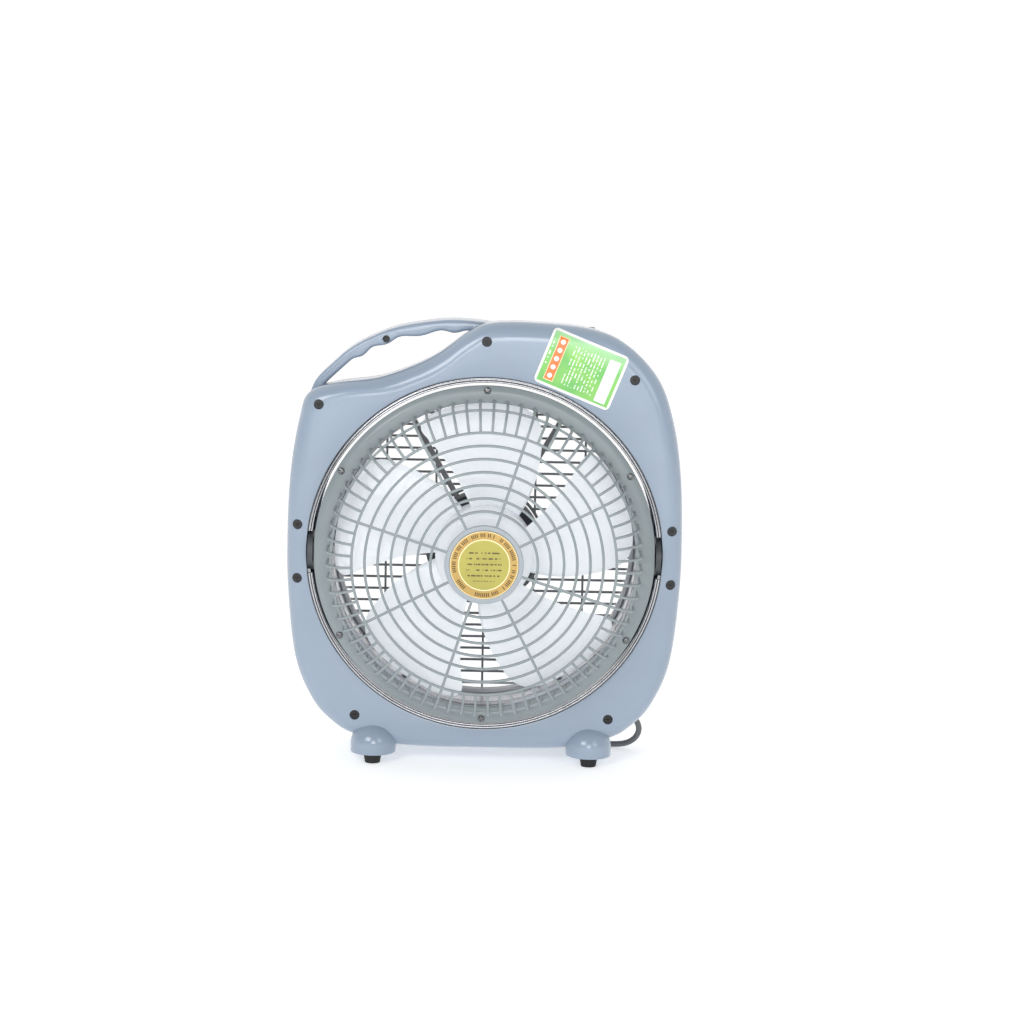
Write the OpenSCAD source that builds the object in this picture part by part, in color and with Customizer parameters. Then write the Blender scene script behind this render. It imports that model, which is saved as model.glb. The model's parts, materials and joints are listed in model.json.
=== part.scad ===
/* [Housing] */
// Height of the drum's centre above the floor
axis_z = 212; // [205:1:225]
// Depth of the housing from its front face to its back
housing_depth = 126; // [115:1:140]
// Wall of both housing shells
wall = 2.6; // [2:0.2:3.4]
// Rounding of the housing's front edge
front_round = 17; // [10:1:22]
// Rounding of the housing's rear edge
rear_round = 24; // [14:1:28]
// Radius of the round opening in the front shell
opening_r = 177; // [176:0.5:178]
// Radial thickness of the carrying handle
handle_thick = 10; // [9:0.5:12]

/* [Drum] */
// Outer radius of the grille's frame ring
ring_r = 169.5; // [166:0.5:170]
// Distance from the frame ring's face to the flat front of the grille
grille_bulge = 54; // [40:1:60]
// Depth of the air duct behind the frame ring
duct_depth = 54; // [50:1:60]
// Distance of the tilt axis behind the front face of the housing
pivot_back = 14; // [10:1:20]

/* [Grille] */
// Number of round bars in the flat front of the grille
ring_count = 7; // [5:1:8]
// Spacing of the round bars
ring_pitch = 12.8; // [11:0.1:13]
// Number of curved ribs round the grille
rib_count = 72; // [36:12:72]
// Number of spokes across the flat front
spoke_count = 8; // [4:1:10]
// Width of a rib, seen from the front
rib_w = 2.6; // [2:0.1:3.2]

/* [Blades] */
// Radius at the blade tips
blade_r = 149.6; // [140:0.1:149.6]
// Number of blades
blade_count = 5; // [3:1:6]
// Depth of a blade along the shaft
blade_depth = 30; // [24:1:34]
// Thickness of a blade
blade_t = 2; // [1.5:0.1:3]

/* [Power cord] */
// Diameter of the power cord
cord_d = 6; // [5.5:0.1:6.5]
// Turns in each layer of the wound cord
coil_rows = 3; // [2:1:4]

/* [Hidden] */
$fn = 96;
eps = 0.01;
fit = 0.05;

back_y = 94;
face_y = back_y - housing_depth;
split_y = face_y + 60;
pivot_y = face_y + pivot_back;
ring_face_y = face_y - 8;
grille_y = ring_face_y - grille_bulge;
bar_y = grille_y + 1.2;
flange_y = ring_face_y + 7;
duct_back_y = flange_y + duct_depth;
guard_y = duct_back_y + 20;
rear_opening_r = 172;
split_taper = 2;
back_taper = 8;
duct_front_r = 158;
duct_rear_r = 151.5;

// Outline of the housing without its handle, seen from the front, about the drum's centre
side_line = [[196, -39], [197, 23], [194, 82], [186, 132]];
shoulder_line = [[170.5, 175], [140.5, 208], [105.5, 224.5], [50, 230.5], [2, 229.5]];
grip_line = [[-22, 218.5], [-50, 198], [-78, 184], [-110, 173], [-150, 167], [-177, 157]];
bottom_line = [[188, -109], [170.5, -152], [150.5, -174.5], [128, -187.5], [80, -198]];

function mirrored(line) = [for (p = line) [-p.x, p.y]];
function backwards(line) = [for (i = [len(line) - 1:-1:0]) line[i]];
function spline_point(a, b, c, d, t) =
    0.5 * (2 * b + (c - a) * t + (2 * a - 5 * b + 4 * c - d) * t * t
    + (3 * b - a - 3 * c + d) * t * t * t);
function closed_curve(p, n) = let (m = len(p)) [for (i = [0:m - 1], k = [0:n - 1])
    spline_point(p[(i + m - 1) % m], p[i], p[(i + 1) % m], p[(i + 2) % m], k / n)];
function open_curve(p, n) = let (m = len(p) - 1) concat([for (i = [0:m - 1], k = [0:n - 1])
    spline_point(p[max(i - 1, 0)], p[i], p[i + 1], p[min(i + 2, m)], k / n)], [p[m]]);
function unit(v) = v / norm(v);
// Outline drawn in towards the drum's centre
function moved_in(line, d) = [for (p = line) p * (1 - d / norm(p))];

housing_corners = concat(side_line, shoulder_line, grip_line,
    mirrored(backwards([for (i = [0:3]) side_line[i]])),
    mirrored(bottom_line), [[0, -199.5]], backwards(bottom_line));
housing_line = closed_curve(housing_corners, 3);

// Solid with the housing's outline: steps are [inset, depth] pairs from front to back
module lofted(line, steps) {
    m = len(line);
    last = len(steps) - 1;
    points = [for (s = steps) for (p = moved_in(line, s[0])) [p.x, s[1], p.y]];
    sides = [for (k = [0:last - 1], i = [0:m - 1])
        [k * m + i, k * m + (i + 1) % m, (k + 1) * m + (i + 1) % m, (k + 1) * m + i]];
    front = [for (i = [m - 1:-1:0]) i];
    back = [for (i = [0:m - 1]) last * m + i];
    translate([0, 0, axis_z])
        polyhedron(points, concat(sides, [front, back]), convexity = 8);
}

// The housing narrows towards its back by split_taper, then by back_taper
function front_steps(inset, r) = concat([for (a = [0:18:90])
    [inset + r * (1 - sin(a)), face_y + inset + r * (1 - cos(a))]],
    [[inset + split_taper, split_y]]);
function rear_steps(inset, r) = concat([[inset + split_taper, split_y]],
    [for (a = [90:-18:0])
    [inset + back_taper + r * (1 - sin(a)), back_y - inset - r * (1 - cos(a))]]);

// Places its children about the drum's axis, with their own Z along the shaft
module on_drum_axis() {
    translate([0, 0, axis_z])
        rotate([-90, 0, 0])
            children();
}

// Ring about the drum's axis from a profile of [radius, depth] points
module turned(profile) {
    on_drum_axis()
        rotate_extrude()
            polygon(profile);
}

module tube_ring(r_in, r_out, y0, y1) {
    turned([[r_in, y0], [r_out, y0], [r_out, y1], [r_in, y1]]);
}

module drum_disc(r, y0, y1) {
    on_drum_axis()
        translate([0, 0, y0])
            cylinder(r = r, h = y1 - y0);
}

// Turns its children anticlockwise round the drum's axis, seen from the front
module at_angle(a) {
    translate([0, 0, axis_z])
        rotate([0, -a, 0])
            children();
}

// Cylinder along Y at a place about the drum's centre
module pin_y(place, r, y0, y1) {
    translate([place.x, y0, axis_z + place.y])
        rotate([-90, 0, 0])
            cylinder(r = r, h = y1 - y0);
}

module pin_x(r, x0, x1, y = pivot_y) {
    translate([x0, y, axis_z])
        rotate([0, 90, 0])
            cylinder(r = r, h = x1 - x0);
}

module pin_z(place, r, z0, z1) {
    translate([place.x, place.y, z0])
        cylinder(r = r, h = z1 - z0);
}

screw_places = [[186, 27], [186, -27], [-186, 27], [-186, -27], [127, -165], [-127, -165],
    [-1.5, 212], [145, 177], [-166, 147], [-102, 209.5]];
boss_r = 4.5;
boss_back_y = split_y + 17;
shell_screw_tip = split_y + 14;
grip_screw = screw_places[9];
function screw_seat(p) = p == grip_screw ? handle_front_y + 5 : face_y + 5;
function screw_recess(p) = p == grip_screw ? 3.8 : 5;

// Web between a screw boss and the shell's outer wall
module boss_web(p, y0, y1) {
    at_angle(atan2(p.y, p.x))
        translate([norm(p), y0, -1])
            cube([40, y1 - y0, 2]);
}

// Ledge on the inside of the outer wall that carries a part at radius r
module ledge(angle, r, width, depth) {
    at_angle(angle)
        translate([r, split_y + 4, -width / 2])
            cube([60, depth, width]);
}

/* ---- handle ---- */
handle_front_y = split_y - 20;
handle_back_y = split_y + 20;
handle_line = open_curve([[-179, 149], [-172, 167], [-154.5, 185], [-137, 200], [-115.5, 212],
    [-89, 222], [-52, 228.5], [-25, 229.5], [2, 227], [16, 222]], 4);
finger_waves = 4;
wave_height = 3;

// Depth of the grip below the handle's top line, with a wave for each finger
function grip_depth(t) = let (u = (t - 0.3) / 0.5)
    handle_thick + (u > 0 && u < 1 ? wave_height * (1 - cos(360 * finger_waves * u)) / 2 : 0);
function handle_section(i) = let (m = len(handle_line) - 1,
    s = unit(handle_line[min(i + 1, m)] - handle_line[max(i - 1, 0)]),
    inward = [s.y, -s.x], top = handle_line[i], d = grip_depth(i / m), r = 4,
    y0 = handle_front_y, y1 = handle_back_y)
    [for (q = [[0, y0 + r], [r * 0.3, y0 + r * 0.3], [r, y0], [d - r, y0],
        [d - r * 0.3, y0 + r * 0.3], [d, y0 + r], [d, y1 - r], [d - r * 0.3, y1 - r * 0.3],
        [d - r, y1], [r, y1], [r * 0.3, y1 - r * 0.3], [0, y1 - r]])
        let (p = top + inward * q[0]) [p.x, q[1], axis_z + p.y]];

module swept(sections) {
    m = len(sections[0]);
    last = len(sections) - 1;
    points = [for (s = sections) each s];
    sides = [for (k = [0:last - 1], i = [0:m - 1])
        [k * m + i, (k + 1) * m + i, (k + 1) * m + (i + 1) % m, k * m + (i + 1) % m]];
    start = [for (i = [0:m - 1]) i];
    end = [for (i = [m - 1:-1:0]) last * m + i];
    polyhedron(points, concat(sides, [start, end]), convexity = 8);
}

module handle_bar() {
    swept([for (i = [0:len(handle_line) - 1]) handle_section(i)]);
}

/* ---- housing ---- */
half_space = 600;
module ahead_of(y) {
    translate([-half_space / 2, y - half_space, 0])
        cube(half_space);
}
module behind(y) {
    translate([-half_space / 2, y, 0])
        cube(half_space);
}

collar_t = 2.6;
collar_back_y = pivot_y + 24;
bearing_disc_r = 19.5;
sleeve_r = 8;
pin_r = 5;
outlet_place = [149, split_y, 43];
outlet_tilt = 134;
outlet_r = 5;

module outlet_pose() {
    translate(outlet_place)
        rotate([0, outlet_tilt, 0])
            children();
}

// Everything that is cut through both shells
module shell_cuts() {
    for (s = [-1, 1])
        pin_x(sleeve_r + fit, s > 0 ? 150 : -192, s > 0 ? 192 : -150);
    outlet_pose()
        translate([0, 0, -20])
            cylinder(r = outlet_r + fit, h = 40);
}

module front_shell() {
    color("#aeb9c4")
    difference() {
        union() {
            difference() {
                lofted(housing_line, front_steps(0, front_round));
                lofted(housing_line, concat(front_steps(wall, front_round - wall),
                    [[wall + split_taper, split_y + 1]]));
            }
            intersection() {
                handle_bar();
                ahead_of(split_y);
            }
            intersection() {
                union() {
                    tube_ring(opening_r, opening_r + collar_t, face_y + 1, collar_back_y);
                    for (p = screw_places)
                        if (p != grip_screw)
                            boss_web(p, face_y + 4, split_y);
                }
                lofted(housing_line, front_steps(1, front_round));
            }
            for (p = screw_places)
                pin_y(p, boss_r, screw_seat(p) + 1, split_y);
        }
        drum_disc(opening_r, face_y - 5, split_y + 5);
        for (p = screw_places) {
            pin_y(p, screw_recess(p), face_y - 20, screw_seat(p));
            pin_y(p, 2, face_y - 10, split_y + 5);
        }
        shell_cuts();
        for (s = [-1, 1])
            pin_z([s * foot_x, foot_front_screw_y], 2.2, 10, 40);
    }
}

module rear_shell() {
    color("#aeb9c4")
    difference() {
        union() {
            difference() {
                lofted(housing_line, rear_steps(0, rear_round));
                lofted(housing_line, concat([[wall + split_taper, split_y - 1]],
                    rear_steps(wall, rear_round - wall)));
            }
            intersection() {
                handle_bar();
                behind(split_y);
            }
            intersection() {
                union() {
                    tube_ring(rear_opening_r, rear_opening_r + collar_t, back_y - 40, back_y - 1);
                    for (p = screw_places)
                        if (p != grip_screw)
                            boss_web(p, split_y + 1, boss_back_y - 1);
                    ledge(capacitor_angle, capacitor_r + 7, 22, 34);
                    ledge(terminal_angle, terminal_r + 5, 20, 24);
                    pin_z(knob_place, plate_r + 3, plate_z - 11, plate_z + 40);
                }
                lofted(housing_line, rear_steps(1, rear_round));
            }
            for (p = screw_places)
                pin_y(p, boss_r, split_y, boss_back_y);
        }
        drum_disc(rear_opening_r, split_y - 5, back_y + 5);
        for (p = screw_places)
            pin_y(p, 1.6, split_y - 5, shell_screw_tip + 2);
        shell_cuts();
        for (s = [-1, 1])
            pin_z([s * foot_x, foot_rear_screw_y], 2.2, 10, 40);
        control_cut();
    }
}

module trim_ring() {
    bead = 1.9;
    gap_half = asin((bearing_disc_r + 2) / opening_r);
    color("#dfe3e6")
    difference() {
        union() {
            for (r = [172.8, 175])
                on_drum_axis()
                    rotate_extrude()
                        translate([r, face_y - 0.9])
                            circle(r = bead / 2, $fn = 24);
            tube_ring(171.9, opening_r - fit, face_y - 0.9, face_y + 2);
        }
        for (s = [0, 180])
            at_angle(s)
                translate([150, face_y - 20, -bearing_disc_r - 2])
                    cube([40, 40, 2 * bearing_disc_r + 4]);
    }
}

module shell_screws() {
    color("#1d1e20")
    for (p = screw_places) {
        seat = screw_seat(p);
        difference() {
            union() {
                pin_y(p, screw_recess(p) - 0.4, seat - 2.6, seat);
                pin_y(p, 1.6 - fit, seat - eps, shell_screw_tip);
            }
            translate([p.x, seat - 2, axis_z + p.y])
                for (a = [0, 90])
                    rotate([0, a, 0])
                        cube([5, 2.4, 0.9], center = true);
        }
    }
}

/* ---- feet ---- */
foot_x = 108.4;
foot_w = 45.5;
foot_bottom = 8.5;
foot_seat = foot_bottom + 4;
foot_top = 38;
foot_front_screw_y = face_y + 16;
foot_rear_screw_y = back_y - 30;

// Front view of a foot: a dome on a flat base
function foot_dome(top) = concat([[foot_w / 2, foot_bottom], [foot_w / 2, foot_bottom + 5]],
    [for (a = [15:15:165]) [foot_w / 2 * sign(cos(a)) * pow(abs(cos(a)), 0.8),
        foot_bottom + 5 + (top - foot_bottom - 5) * pow(sin(a), 0.9)]],
    [[-foot_w / 2, foot_bottom + 5], [-foot_w / 2, foot_bottom]]);
// Side view of a foot: a round nose at y = 0, and a straight tail
function foot_side(length, top) = concat([[length, foot_bottom], [0, foot_bottom]],
    [for (a = [0:15:90]) [12 - 12 * cos(a), foot_bottom + 5 + (top - foot_bottom - 5) * sin(a)]],
    [[length, top]]);

// Foot moulding with its nose at nose_y, reaching back to tail_y
module foot(side, nose_y, tail_y, screw_y, top) {
    length = abs(tail_y - nose_y);
    color("#aeb9c4")
    difference() {
        intersection() {
            translate([side * foot_x, max(nose_y, tail_y), 0])
                rotate([90, 0, 0])
                    linear_extrude(length)
                        polygon(foot_dome(top));
            translate([side * foot_x - foot_w, nose_y, 0])
                rotate([90, 0, 90])
                    linear_extrude(2 * foot_w)
                        scale([sign(tail_y - nose_y), 1])
                            polygon(foot_side(length, top + 1));
        }
        if (tail_y > nose_y)
            lofted(housing_line, front_steps(0, front_round));
        else
            lofted(housing_line, rear_steps(0, rear_round));
        pin_z([side * foot_x, screw_y], 2, 0, 60);
        pin_z([side * foot_x, screw_y], 4.2, 0, foot_seat);
        pin_z([side * foot_x, pad_y(screw_y)], 3, 0, foot_seat);
    }
}

function pad_y(screw_y) = screw_y + (screw_y < 20 ? -19 : 15);

module front_left_foot() foot(-1, face_y - 14, face_y + 32, foot_front_screw_y, foot_top);
module front_right_foot() foot(1, face_y - 14, face_y + 32, foot_front_screw_y, foot_top);
module rear_left_foot() foot(-1, back_y - 6, back_y - 42, foot_rear_screw_y, 28);
module rear_right_foot() foot(1, back_y - 6, back_y - 42, foot_rear_screw_y, 28);

module foot_pads() {
    color("#17181a")
    for (side = [-1, 1], screw_y = [foot_front_screw_y, foot_rear_screw_y]) {
        translate([side * foot_x, pad_y(screw_y), 0])
            cylinder(r1 = 7.5, r2 = 9, h = foot_bottom);
        pin_z([side * foot_x, pad_y(screw_y)], 3 - fit, foot_bottom - eps, foot_seat);
    }
}

module foot_screws() {
    color("#9a9c9e")
    for (side = [-1, 1], screw_y = [foot_front_screw_y, foot_rear_screw_y]) {
        pin_z([side * foot_x, screw_y], 3.6, foot_seat - 2.5, foot_seat);
        pin_z([side * foot_x, screw_y], 2 - fit, foot_seat - eps, 27);
    }
}

/* ---- tilt bearings ---- */
module bearing(s) {
    color("#4b5157")
    difference() {
        union() {
            pin_x(bearing_disc_r, s > 0 ? 170.4 : -175.6, s > 0 ? 175.6 : -170.4);
            pin_x(sleeve_r, s > 0 ? 175 : -190, s > 0 ? 190 : -175);
        }
        pin_x(pin_r, s > 0 ? 160 : -188, s > 0 ? 188 : -160);
    }
}

module left_bearing() bearing(-1);
module right_bearing() bearing(1);

/* ---- label ---- */
label_w = 80;
label_h = 57;
label_t = 0.4;
label_place = [92, 187];
label_turn = -21.5;

module label_pose() {
    translate([label_place.x, face_y, axis_z + label_place.y])
        rotate([0, -label_turn, 0])
            children();
}

// Block with rounded corners that reaches t ahead of its origin
module label_block(w, h, r, t) {
    rotate([90, 0, 0])
            linear_extrude(t)
                union() {
                    square([w - 2 * r, h], center = true);
                    square([w, h - 2 * r], center = true);
                    for (u = [-1, 1], v = [-1, 1])
                        translate([u * (w / 2 - r), v * (h / 2 - r)])
                            circle(r = r);
                }
}

module energy_label() {
    color("#2f9a4a")
    intersection() {
        label_pose()
            translate([0, front_round - 1, 0])
                label_block(label_w, label_h, 5, front_round + 3);
        difference() {
            lofted(housing_line, front_steps(-label_t, front_round + label_t));
            lofted(housing_line, front_steps(0, front_round));
        }
    }
}

/* ---- control on top ---- */
knob_place = [104, 56];
plate_r = 20;
plate_z = axis_z + 213;
knob_skirt_r = 14;
stem_r = 3;

module control_cut() {
    pin_z(knob_place, plate_r + fit, plate_z - 8, plate_z + 40);
    pin_z(knob_place, plate_r - 3, plate_z - 32, plate_z);
}

module control_plate() {
    color("#c9d0d6")
    difference() {
        union() {
            pin_z(knob_place, plate_r, plate_z - 8, plate_z - 5);
            for (u = [-1, 1])
                pin_z(knob_place + [0, u * 17], 1.2, plate_z - 5 - eps, plate_z - 4.2);
        }
        pin_z(knob_place, 5, plate_z - 20, plate_z + 20);
    }
}

module speed_switch() {
    color("#d8d3c4")
    union() {
        pin_z(knob_place, 15, plate_z - 30, plate_z - 8);
        pin_z(knob_place, 5 - fit, plate_z - 8 - eps, plate_z - 4.5);
    }
}

module speed_knob() {
    color("#9aa4ae")
    difference() {
        union() {
            pin_z(knob_place, knob_skirt_r, plate_z - 4, plate_z);
            translate([knob_place.x - 3.4, knob_place.y - 13, plate_z - eps])
                cube([6.8, 26, 8]);
        }
        pin_z(knob_place, stem_r, plate_z - 10, plate_z + 6);
    }
}

capacitor_angle = 44;
capacitor_r = 199;
terminal_angle = -38;
terminal_r = 193;

module capacitor() {
    color("#2b2d30")
    at_angle(capacitor_angle)
        translate([capacitor_r - 7, split_y + 6, -12])
            cube([14, 30, 24]);
}

module terminal_block() {
    color("#e4e0d2")
    at_angle(terminal_angle)
        difference() {
            translate([terminal_r - 5, split_y + 5, -13])
                cube([10, 22, 26]);
            for (v = [-8, 0, 8], y = [11, 21])
                translate([terminal_r - 8, split_y + y, v])
                    rotate([0, 90, 0])
                        cylinder(r = 1.6, h = 6);
        }
}

/* ---- power cord ---- */
cord_r = cord_d / 2;
coil_mid_r = 5.5 * cord_d;
coil_layers = 2;
coil_centre = [24, 152];
// Route of the cord's free stretch, from its outlet to the coil
route = [[156.2, 28, 36], [159, 28.4, 32.9], [161.4, 29.5, 28.5], [162.4, 31, 23],
    [161.2, 34, 17], [157.6, 38, 11], [152, 42, 6.5], [145, 45.5, 3.9], [136, 48, 3],
    [122, 49, 3], [108, 49.5, 3], [94, 51, 3], [82, 55, 3], [73, 63, 3], [67, 75, 3],
    [63.5, 90, 3], [61, 106, 3], [59, 119, 3], [58, 129, 3]];
// Route of the short stretch from the coil to the plug
tail_route = [[14, 190.8, 9], [2, 188.5, 8.7], [-9, 184, 8.2], [-19, 178, 7.8],
    [-27, 170.5, 7.5], [-32, 161, 7.5]];
route_sides = 8;

function ring_round(p, dir, r) = let (a = unit(dir),
    u = unit(cross(a, abs(a.z) < 0.9 ? [0, 0, 1] : [1, 0, 0])), v = cross(a, u))
    [for (k = [0:route_sides - 1]) let (q = 360 * (k + 0.5) / route_sides)
        p + r * (cos(q) * u + sin(q) * v)];

module cord_along(line) {
    fine = open_curve(line, 2);
    m = len(fine) - 1;
    color("#6d7278")
    swept([for (i = [0:m]) ring_round(fine[i],
        fine[min(i + 1, m)] - fine[max(i - 1, 0)], cord_r)]);
}

module cord_tube() cord_along(route);
module cord_tail() cord_along(tail_route);

module cord_coil() {
    half = coil_rows * cord_d / 2;
    high = coil_layers * cord_d;
    color("#6d7278")
    translate([coil_centre.x, coil_centre.y, 0])
        rotate_extrude()
            translate([coil_mid_r - half, 0])
                square([2 * half, high]);
}

module cord_tie() {
    half = coil_rows * cord_d / 2;
    high = coil_layers * cord_d;
    color("#2a2c2e")
    translate([coil_centre.x - coil_mid_r, coil_centre.y, 0])
        translate([-half - 1, -3, 0])
            difference() {
                cube([2 * half + 2.3, 6, high + 1]);
                translate([1, -1, -1])
                    cube([2 * half + 0.3, 8, high + 1]);
            }
}

plug_place = [-32, 134];
module plug_body() {
    color("#3c4045")
    translate([plug_place.x, plug_place.y, 0])
        rotate([0, 0, -90])
            union() {
                translate([-17, -11, 0])
                    cube([26, 22, 15]);
                translate([-27, 0, 7.5])
                    rotate([0, 90, 0])
                        cylinder(r = 5, h = 12);
            }
}

module plug_pins() {
    color("#c9b27a")
    translate([plug_place.x, plug_place.y, 7.5])
        rotate([0, 0, -90])
            for (v = [-1, 1])
                translate([9, v * 6.3, 0])
                    rotate([0, 90, 0])
                        cylinder(r = 2.2, h = 19);
}

module cord_outlet() {
    color("#8f99a2")
    outlet_pose() {
        translate([0, 0, -6])
            cylinder(r = outlet_r, h = 12);
        translate([0, 0, 5])
            cylinder(r1 = 6.2, r2 = 5, h = 5);
    }
}

/* ---- drum ---- */
flange_t = 2.4;

module drum_duct() {
    t = 2;
    color("#c4c9cd")
    difference() {
        union() {
            turned([[duct_front_r, flange_y], [ring_r - 2, flange_y],
                [ring_r - 2, flange_y + flange_t], [duct_front_r + t, flange_y + flange_t],
                [duct_rear_r + t, flange_y + 14], [duct_rear_r + t, duct_back_y],
                [duct_rear_r, duct_back_y], [duct_rear_r, flange_y + 14]]);
            for (s = [-1, 1])
                difference() {
                    pin_x(13, s > 0 ? 145 : -161.5, s > 0 ? 161.5 : -145);
                    drum_disc(duct_rear_r + 1, flange_y - 10, duct_back_y);
                    drum_disc(duct_front_r + 12, flange_y - 20, flange_y + eps);
                }
        }
        for (k = [0:5])
            at_angle(30 + 60 * k)
                translate([ring_screw_r, 0, 0])
                    rotate([90, 0, 0])
                        cylinder(r = 1.75, h = 200, center = true);
        for (s = [-1, 1])
            pin_x(3, s > 0 ? 130 : -170, s > 0 ? 170 : -130);
    }
}

ring_screw_r = 164.7;
frame_inner_r = 152.5;
grille_hub_r = 38.6;
first_ring_r = 52.2;
bar_t = 3;
rib_bend = 24;
last_ring_r = first_ring_r + (ring_count - 1) * ring_pitch;
rib_outer_r = frame_inner_r + 3.2;

rib_y = bar_y + 0.4;
rib_t = 2.8;
// Quarter bend of a rib, at a radius about the bend's centre
function rib_arc(r) = [for (a = [0:11.25:90]) [rib_outer_r - rib_bend + r * sin(a),
    rib_y + rib_bend - r * cos(a)]];
// Side view of a rib as [radius, depth] points, from the last round bar to the frame ring
rib_side = concat([[last_ring_r, rib_y]], rib_arc(rib_bend), [[rib_outer_r, ring_face_y + 3],
    [rib_outer_r - rib_t, ring_face_y + 3]],
    [for (i = [8:-1:0]) rib_arc(rib_bend - rib_t)[i]], [[last_ring_r, rib_y + rib_t]]);

module front_grille() {
    color("#9fb0b4")
    difference() {
        union() {
            turned([[frame_inner_r, flange_y], [frame_inner_r, ring_face_y + 1.5],
                [frame_inner_r + 1.5, ring_face_y], [ring_r - 5, ring_face_y],
                [ring_r - 2.5, ring_face_y + 0.7], [ring_r - 0.7, ring_face_y + 2.5],
                [ring_r, ring_face_y + 5], [ring_r, flange_y]]);
            for (k = [0:ring_count - 1])
                tube_ring(first_ring_r + k * ring_pitch - rib_w / 2,
                    first_ring_r + k * ring_pitch + rib_w / 2, bar_y, bar_y + bar_t);
            drum_disc(grille_hub_r, grille_y + 0.6, grille_y + 6);
            tube_ring(rib_outer_r - 7.2, rib_outer_r - 4.7, bar_y + 11, bar_y + 14);
            for (k = [0:spoke_count - 1])
                at_angle(27.5 + k * 360 / spoke_count)
                    translate([grille_hub_r - 3, bar_y + 0.3, -rib_w / 2])
                        cube([last_ring_r - grille_hub_r + 3, bar_t, rib_w]);
            for (k = [0:rib_count - 1])
                at_angle((k + 0.5) * 360 / rib_count)
                    translate([0, 0, -rib_w / 2])
                        linear_extrude(rib_w)
                            polygon(rib_side);
        }
        for (k = [0:5])
            at_angle(30 + 60 * k)
                translate([ring_screw_r, ring_face_y, 0])
                    rotate([90, 0, 0])
                        cylinder(r = 1.75, h = 60, center = true);
        drum_disc(badge_r + fit, grille_y - 2, grille_y + 2.5);
    }
}

badge_r = 33.4;
badge_band_r = 25.4;

module hub_badge() {
    color("#a8925a")
    drum_disc(badge_band_r, grille_y, grille_y + 2.5);
}

module badge_rim() {
    color("#c98f2f")
    tube_ring(badge_band_r + fit, badge_r, grille_y + 0.3, grille_y + 2.5);
}

module ring_screws() {
    color("#c8ccd0")
    for (k = [0:5])
        at_angle(30 + 60 * k)
            translate([ring_screw_r, ring_face_y, 0])
                rotate([-90, 0, 0])
                    difference() {
                        union() {
                            translate([0, 0, -1.6])
                                cylinder(r = 3.5, h = 1.6);
                            translate([0, 0, -eps])
                                cylinder(r = 1.75 - fit, h = 11);
                        }
                        for (a = [0, 90])
                            rotate([0, 0, a])
                                translate([0, 0, -1.6])
                                    cube([4.4, 0.9, 1.6], center = true);
                    }
}

guard_bar = 2.2;
guard_pitch = 12.1;
guard_r = duct_rear_r + 2;
guard_cross_pitch = 50.4;
motor_r = 55;
motor_ring_r = motor_r + 3;

module rear_guard() {
    rows = floor((guard_r - 4) / guard_pitch);
    color("#585d62")
    difference() {
        union() {
            turned([[guard_r - 3, duct_back_y], [guard_r + 3, duct_back_y],
                [guard_r + 3, duct_back_y + 2.4], [guard_r, duct_back_y + 2.4],
                [guard_r, guard_y + 3], [guard_r - 3, guard_y + 3]]);
            tube_ring(motor_ring_r, motor_ring_r + 3, guard_y, guard_y + 3);
            intersection() {
                drum_disc(guard_r - 1, guard_y - 5, guard_y + 5);
                translate([0, guard_y, axis_z])
                    union() {
                        for (k = [-rows:rows])
                            translate([-guard_r, 0, k * guard_pitch - guard_bar / 2])
                                cube([2 * guard_r, guard_bar, guard_bar]);
                        for (k = [-2:2])
                            translate([k * guard_cross_pitch - guard_bar / 2, 0.6, -guard_r])
                                cube([guard_bar, guard_bar + 0.2, 2 * guard_r]);
                    }
            }
        }
        drum_disc(motor_ring_r, guard_y - 10, guard_y + 10);
        for (k = [0:3])
            at_angle(45 + 90 * k)
                translate([guard_r + 1.5, duct_back_y, 0])
                    rotate([90, 0, 0])
                        cylinder(r = 0.8, h = 20, center = true);
    }
}

module guard_screws() {
    color("#c8ccd0")
    for (k = [0:3])
        at_angle(45 + 90 * k)
            translate([guard_r + 1.5, duct_back_y, 0])
                rotate([-90, 0, 0])
                    union() {
                        translate([0, 0, 2.4])
                            cylinder(r = 1.4, h = 1.4);
                        cylinder(r = 0.8 - fit, h = 2.4 + eps);
                    }
}

/* ---- motor ---- */
motor_front_y = 8;
motor_mid_y = 34;
motor_back_y = 66;
bracket_y = motor_mid_y - 8;
arm_w = 5;
bracket_r = duct_rear_r - 1.2;

module motor_bracket() {
    color("#3d4247")
    difference() {
        union() {
            tube_ring(motor_r + 0.1, motor_r + 2.6, bracket_y - 7, bracket_y + 7);
            tube_ring(bracket_r - 3, bracket_r, bracket_y - 8, bracket_y + 3);
            for (a = [60, 120, 180, 240, 300])
                at_angle(a)
                    translate([motor_r + 1, bracket_y - 5, -arm_w / 2])
                        cube([bracket_r - motor_r - 2, 8, arm_w]);
        }
        pin_x(lead_r + 0.5, motor_r - 20, bracket_r + 5, bracket_y);
    }
}

lead_r = 4;
module lead_tube() {
    color("#8b9299")
    difference() {
        pin_x(lead_r, motor_r + 3, bracket_r - 3.1, bracket_y);
        pin_x(lead_r - 1.2, motor_r - 2, bracket_r + 5, bracket_y);
    }
}

module pivot_pin(s) {
    color("#2f3336")
    difference() {
        union() {
            pin_x(12, s > 0 ? 161.6 : -170, s > 0 ? 170 : -161.6);
            pin_x(pin_r - fit, s > 0 ? 169.9 : -187, s > 0 ? 187 : -169.9);
            pin_x(3 - fit, s > 0 ? 152 : -161.7, s > 0 ? 161.7 : -152);
        }
        if (s > 0)
            pin_x(1.9, 140, 200);
    }
}

module left_pivot_pin() pivot_pin(-1);
module right_pivot_pin() pivot_pin(1);

shaft_r = 4;
rotor_r = 24;
stator_r = 50;
stator_half = 12;
bearing_r = 9;

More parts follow.
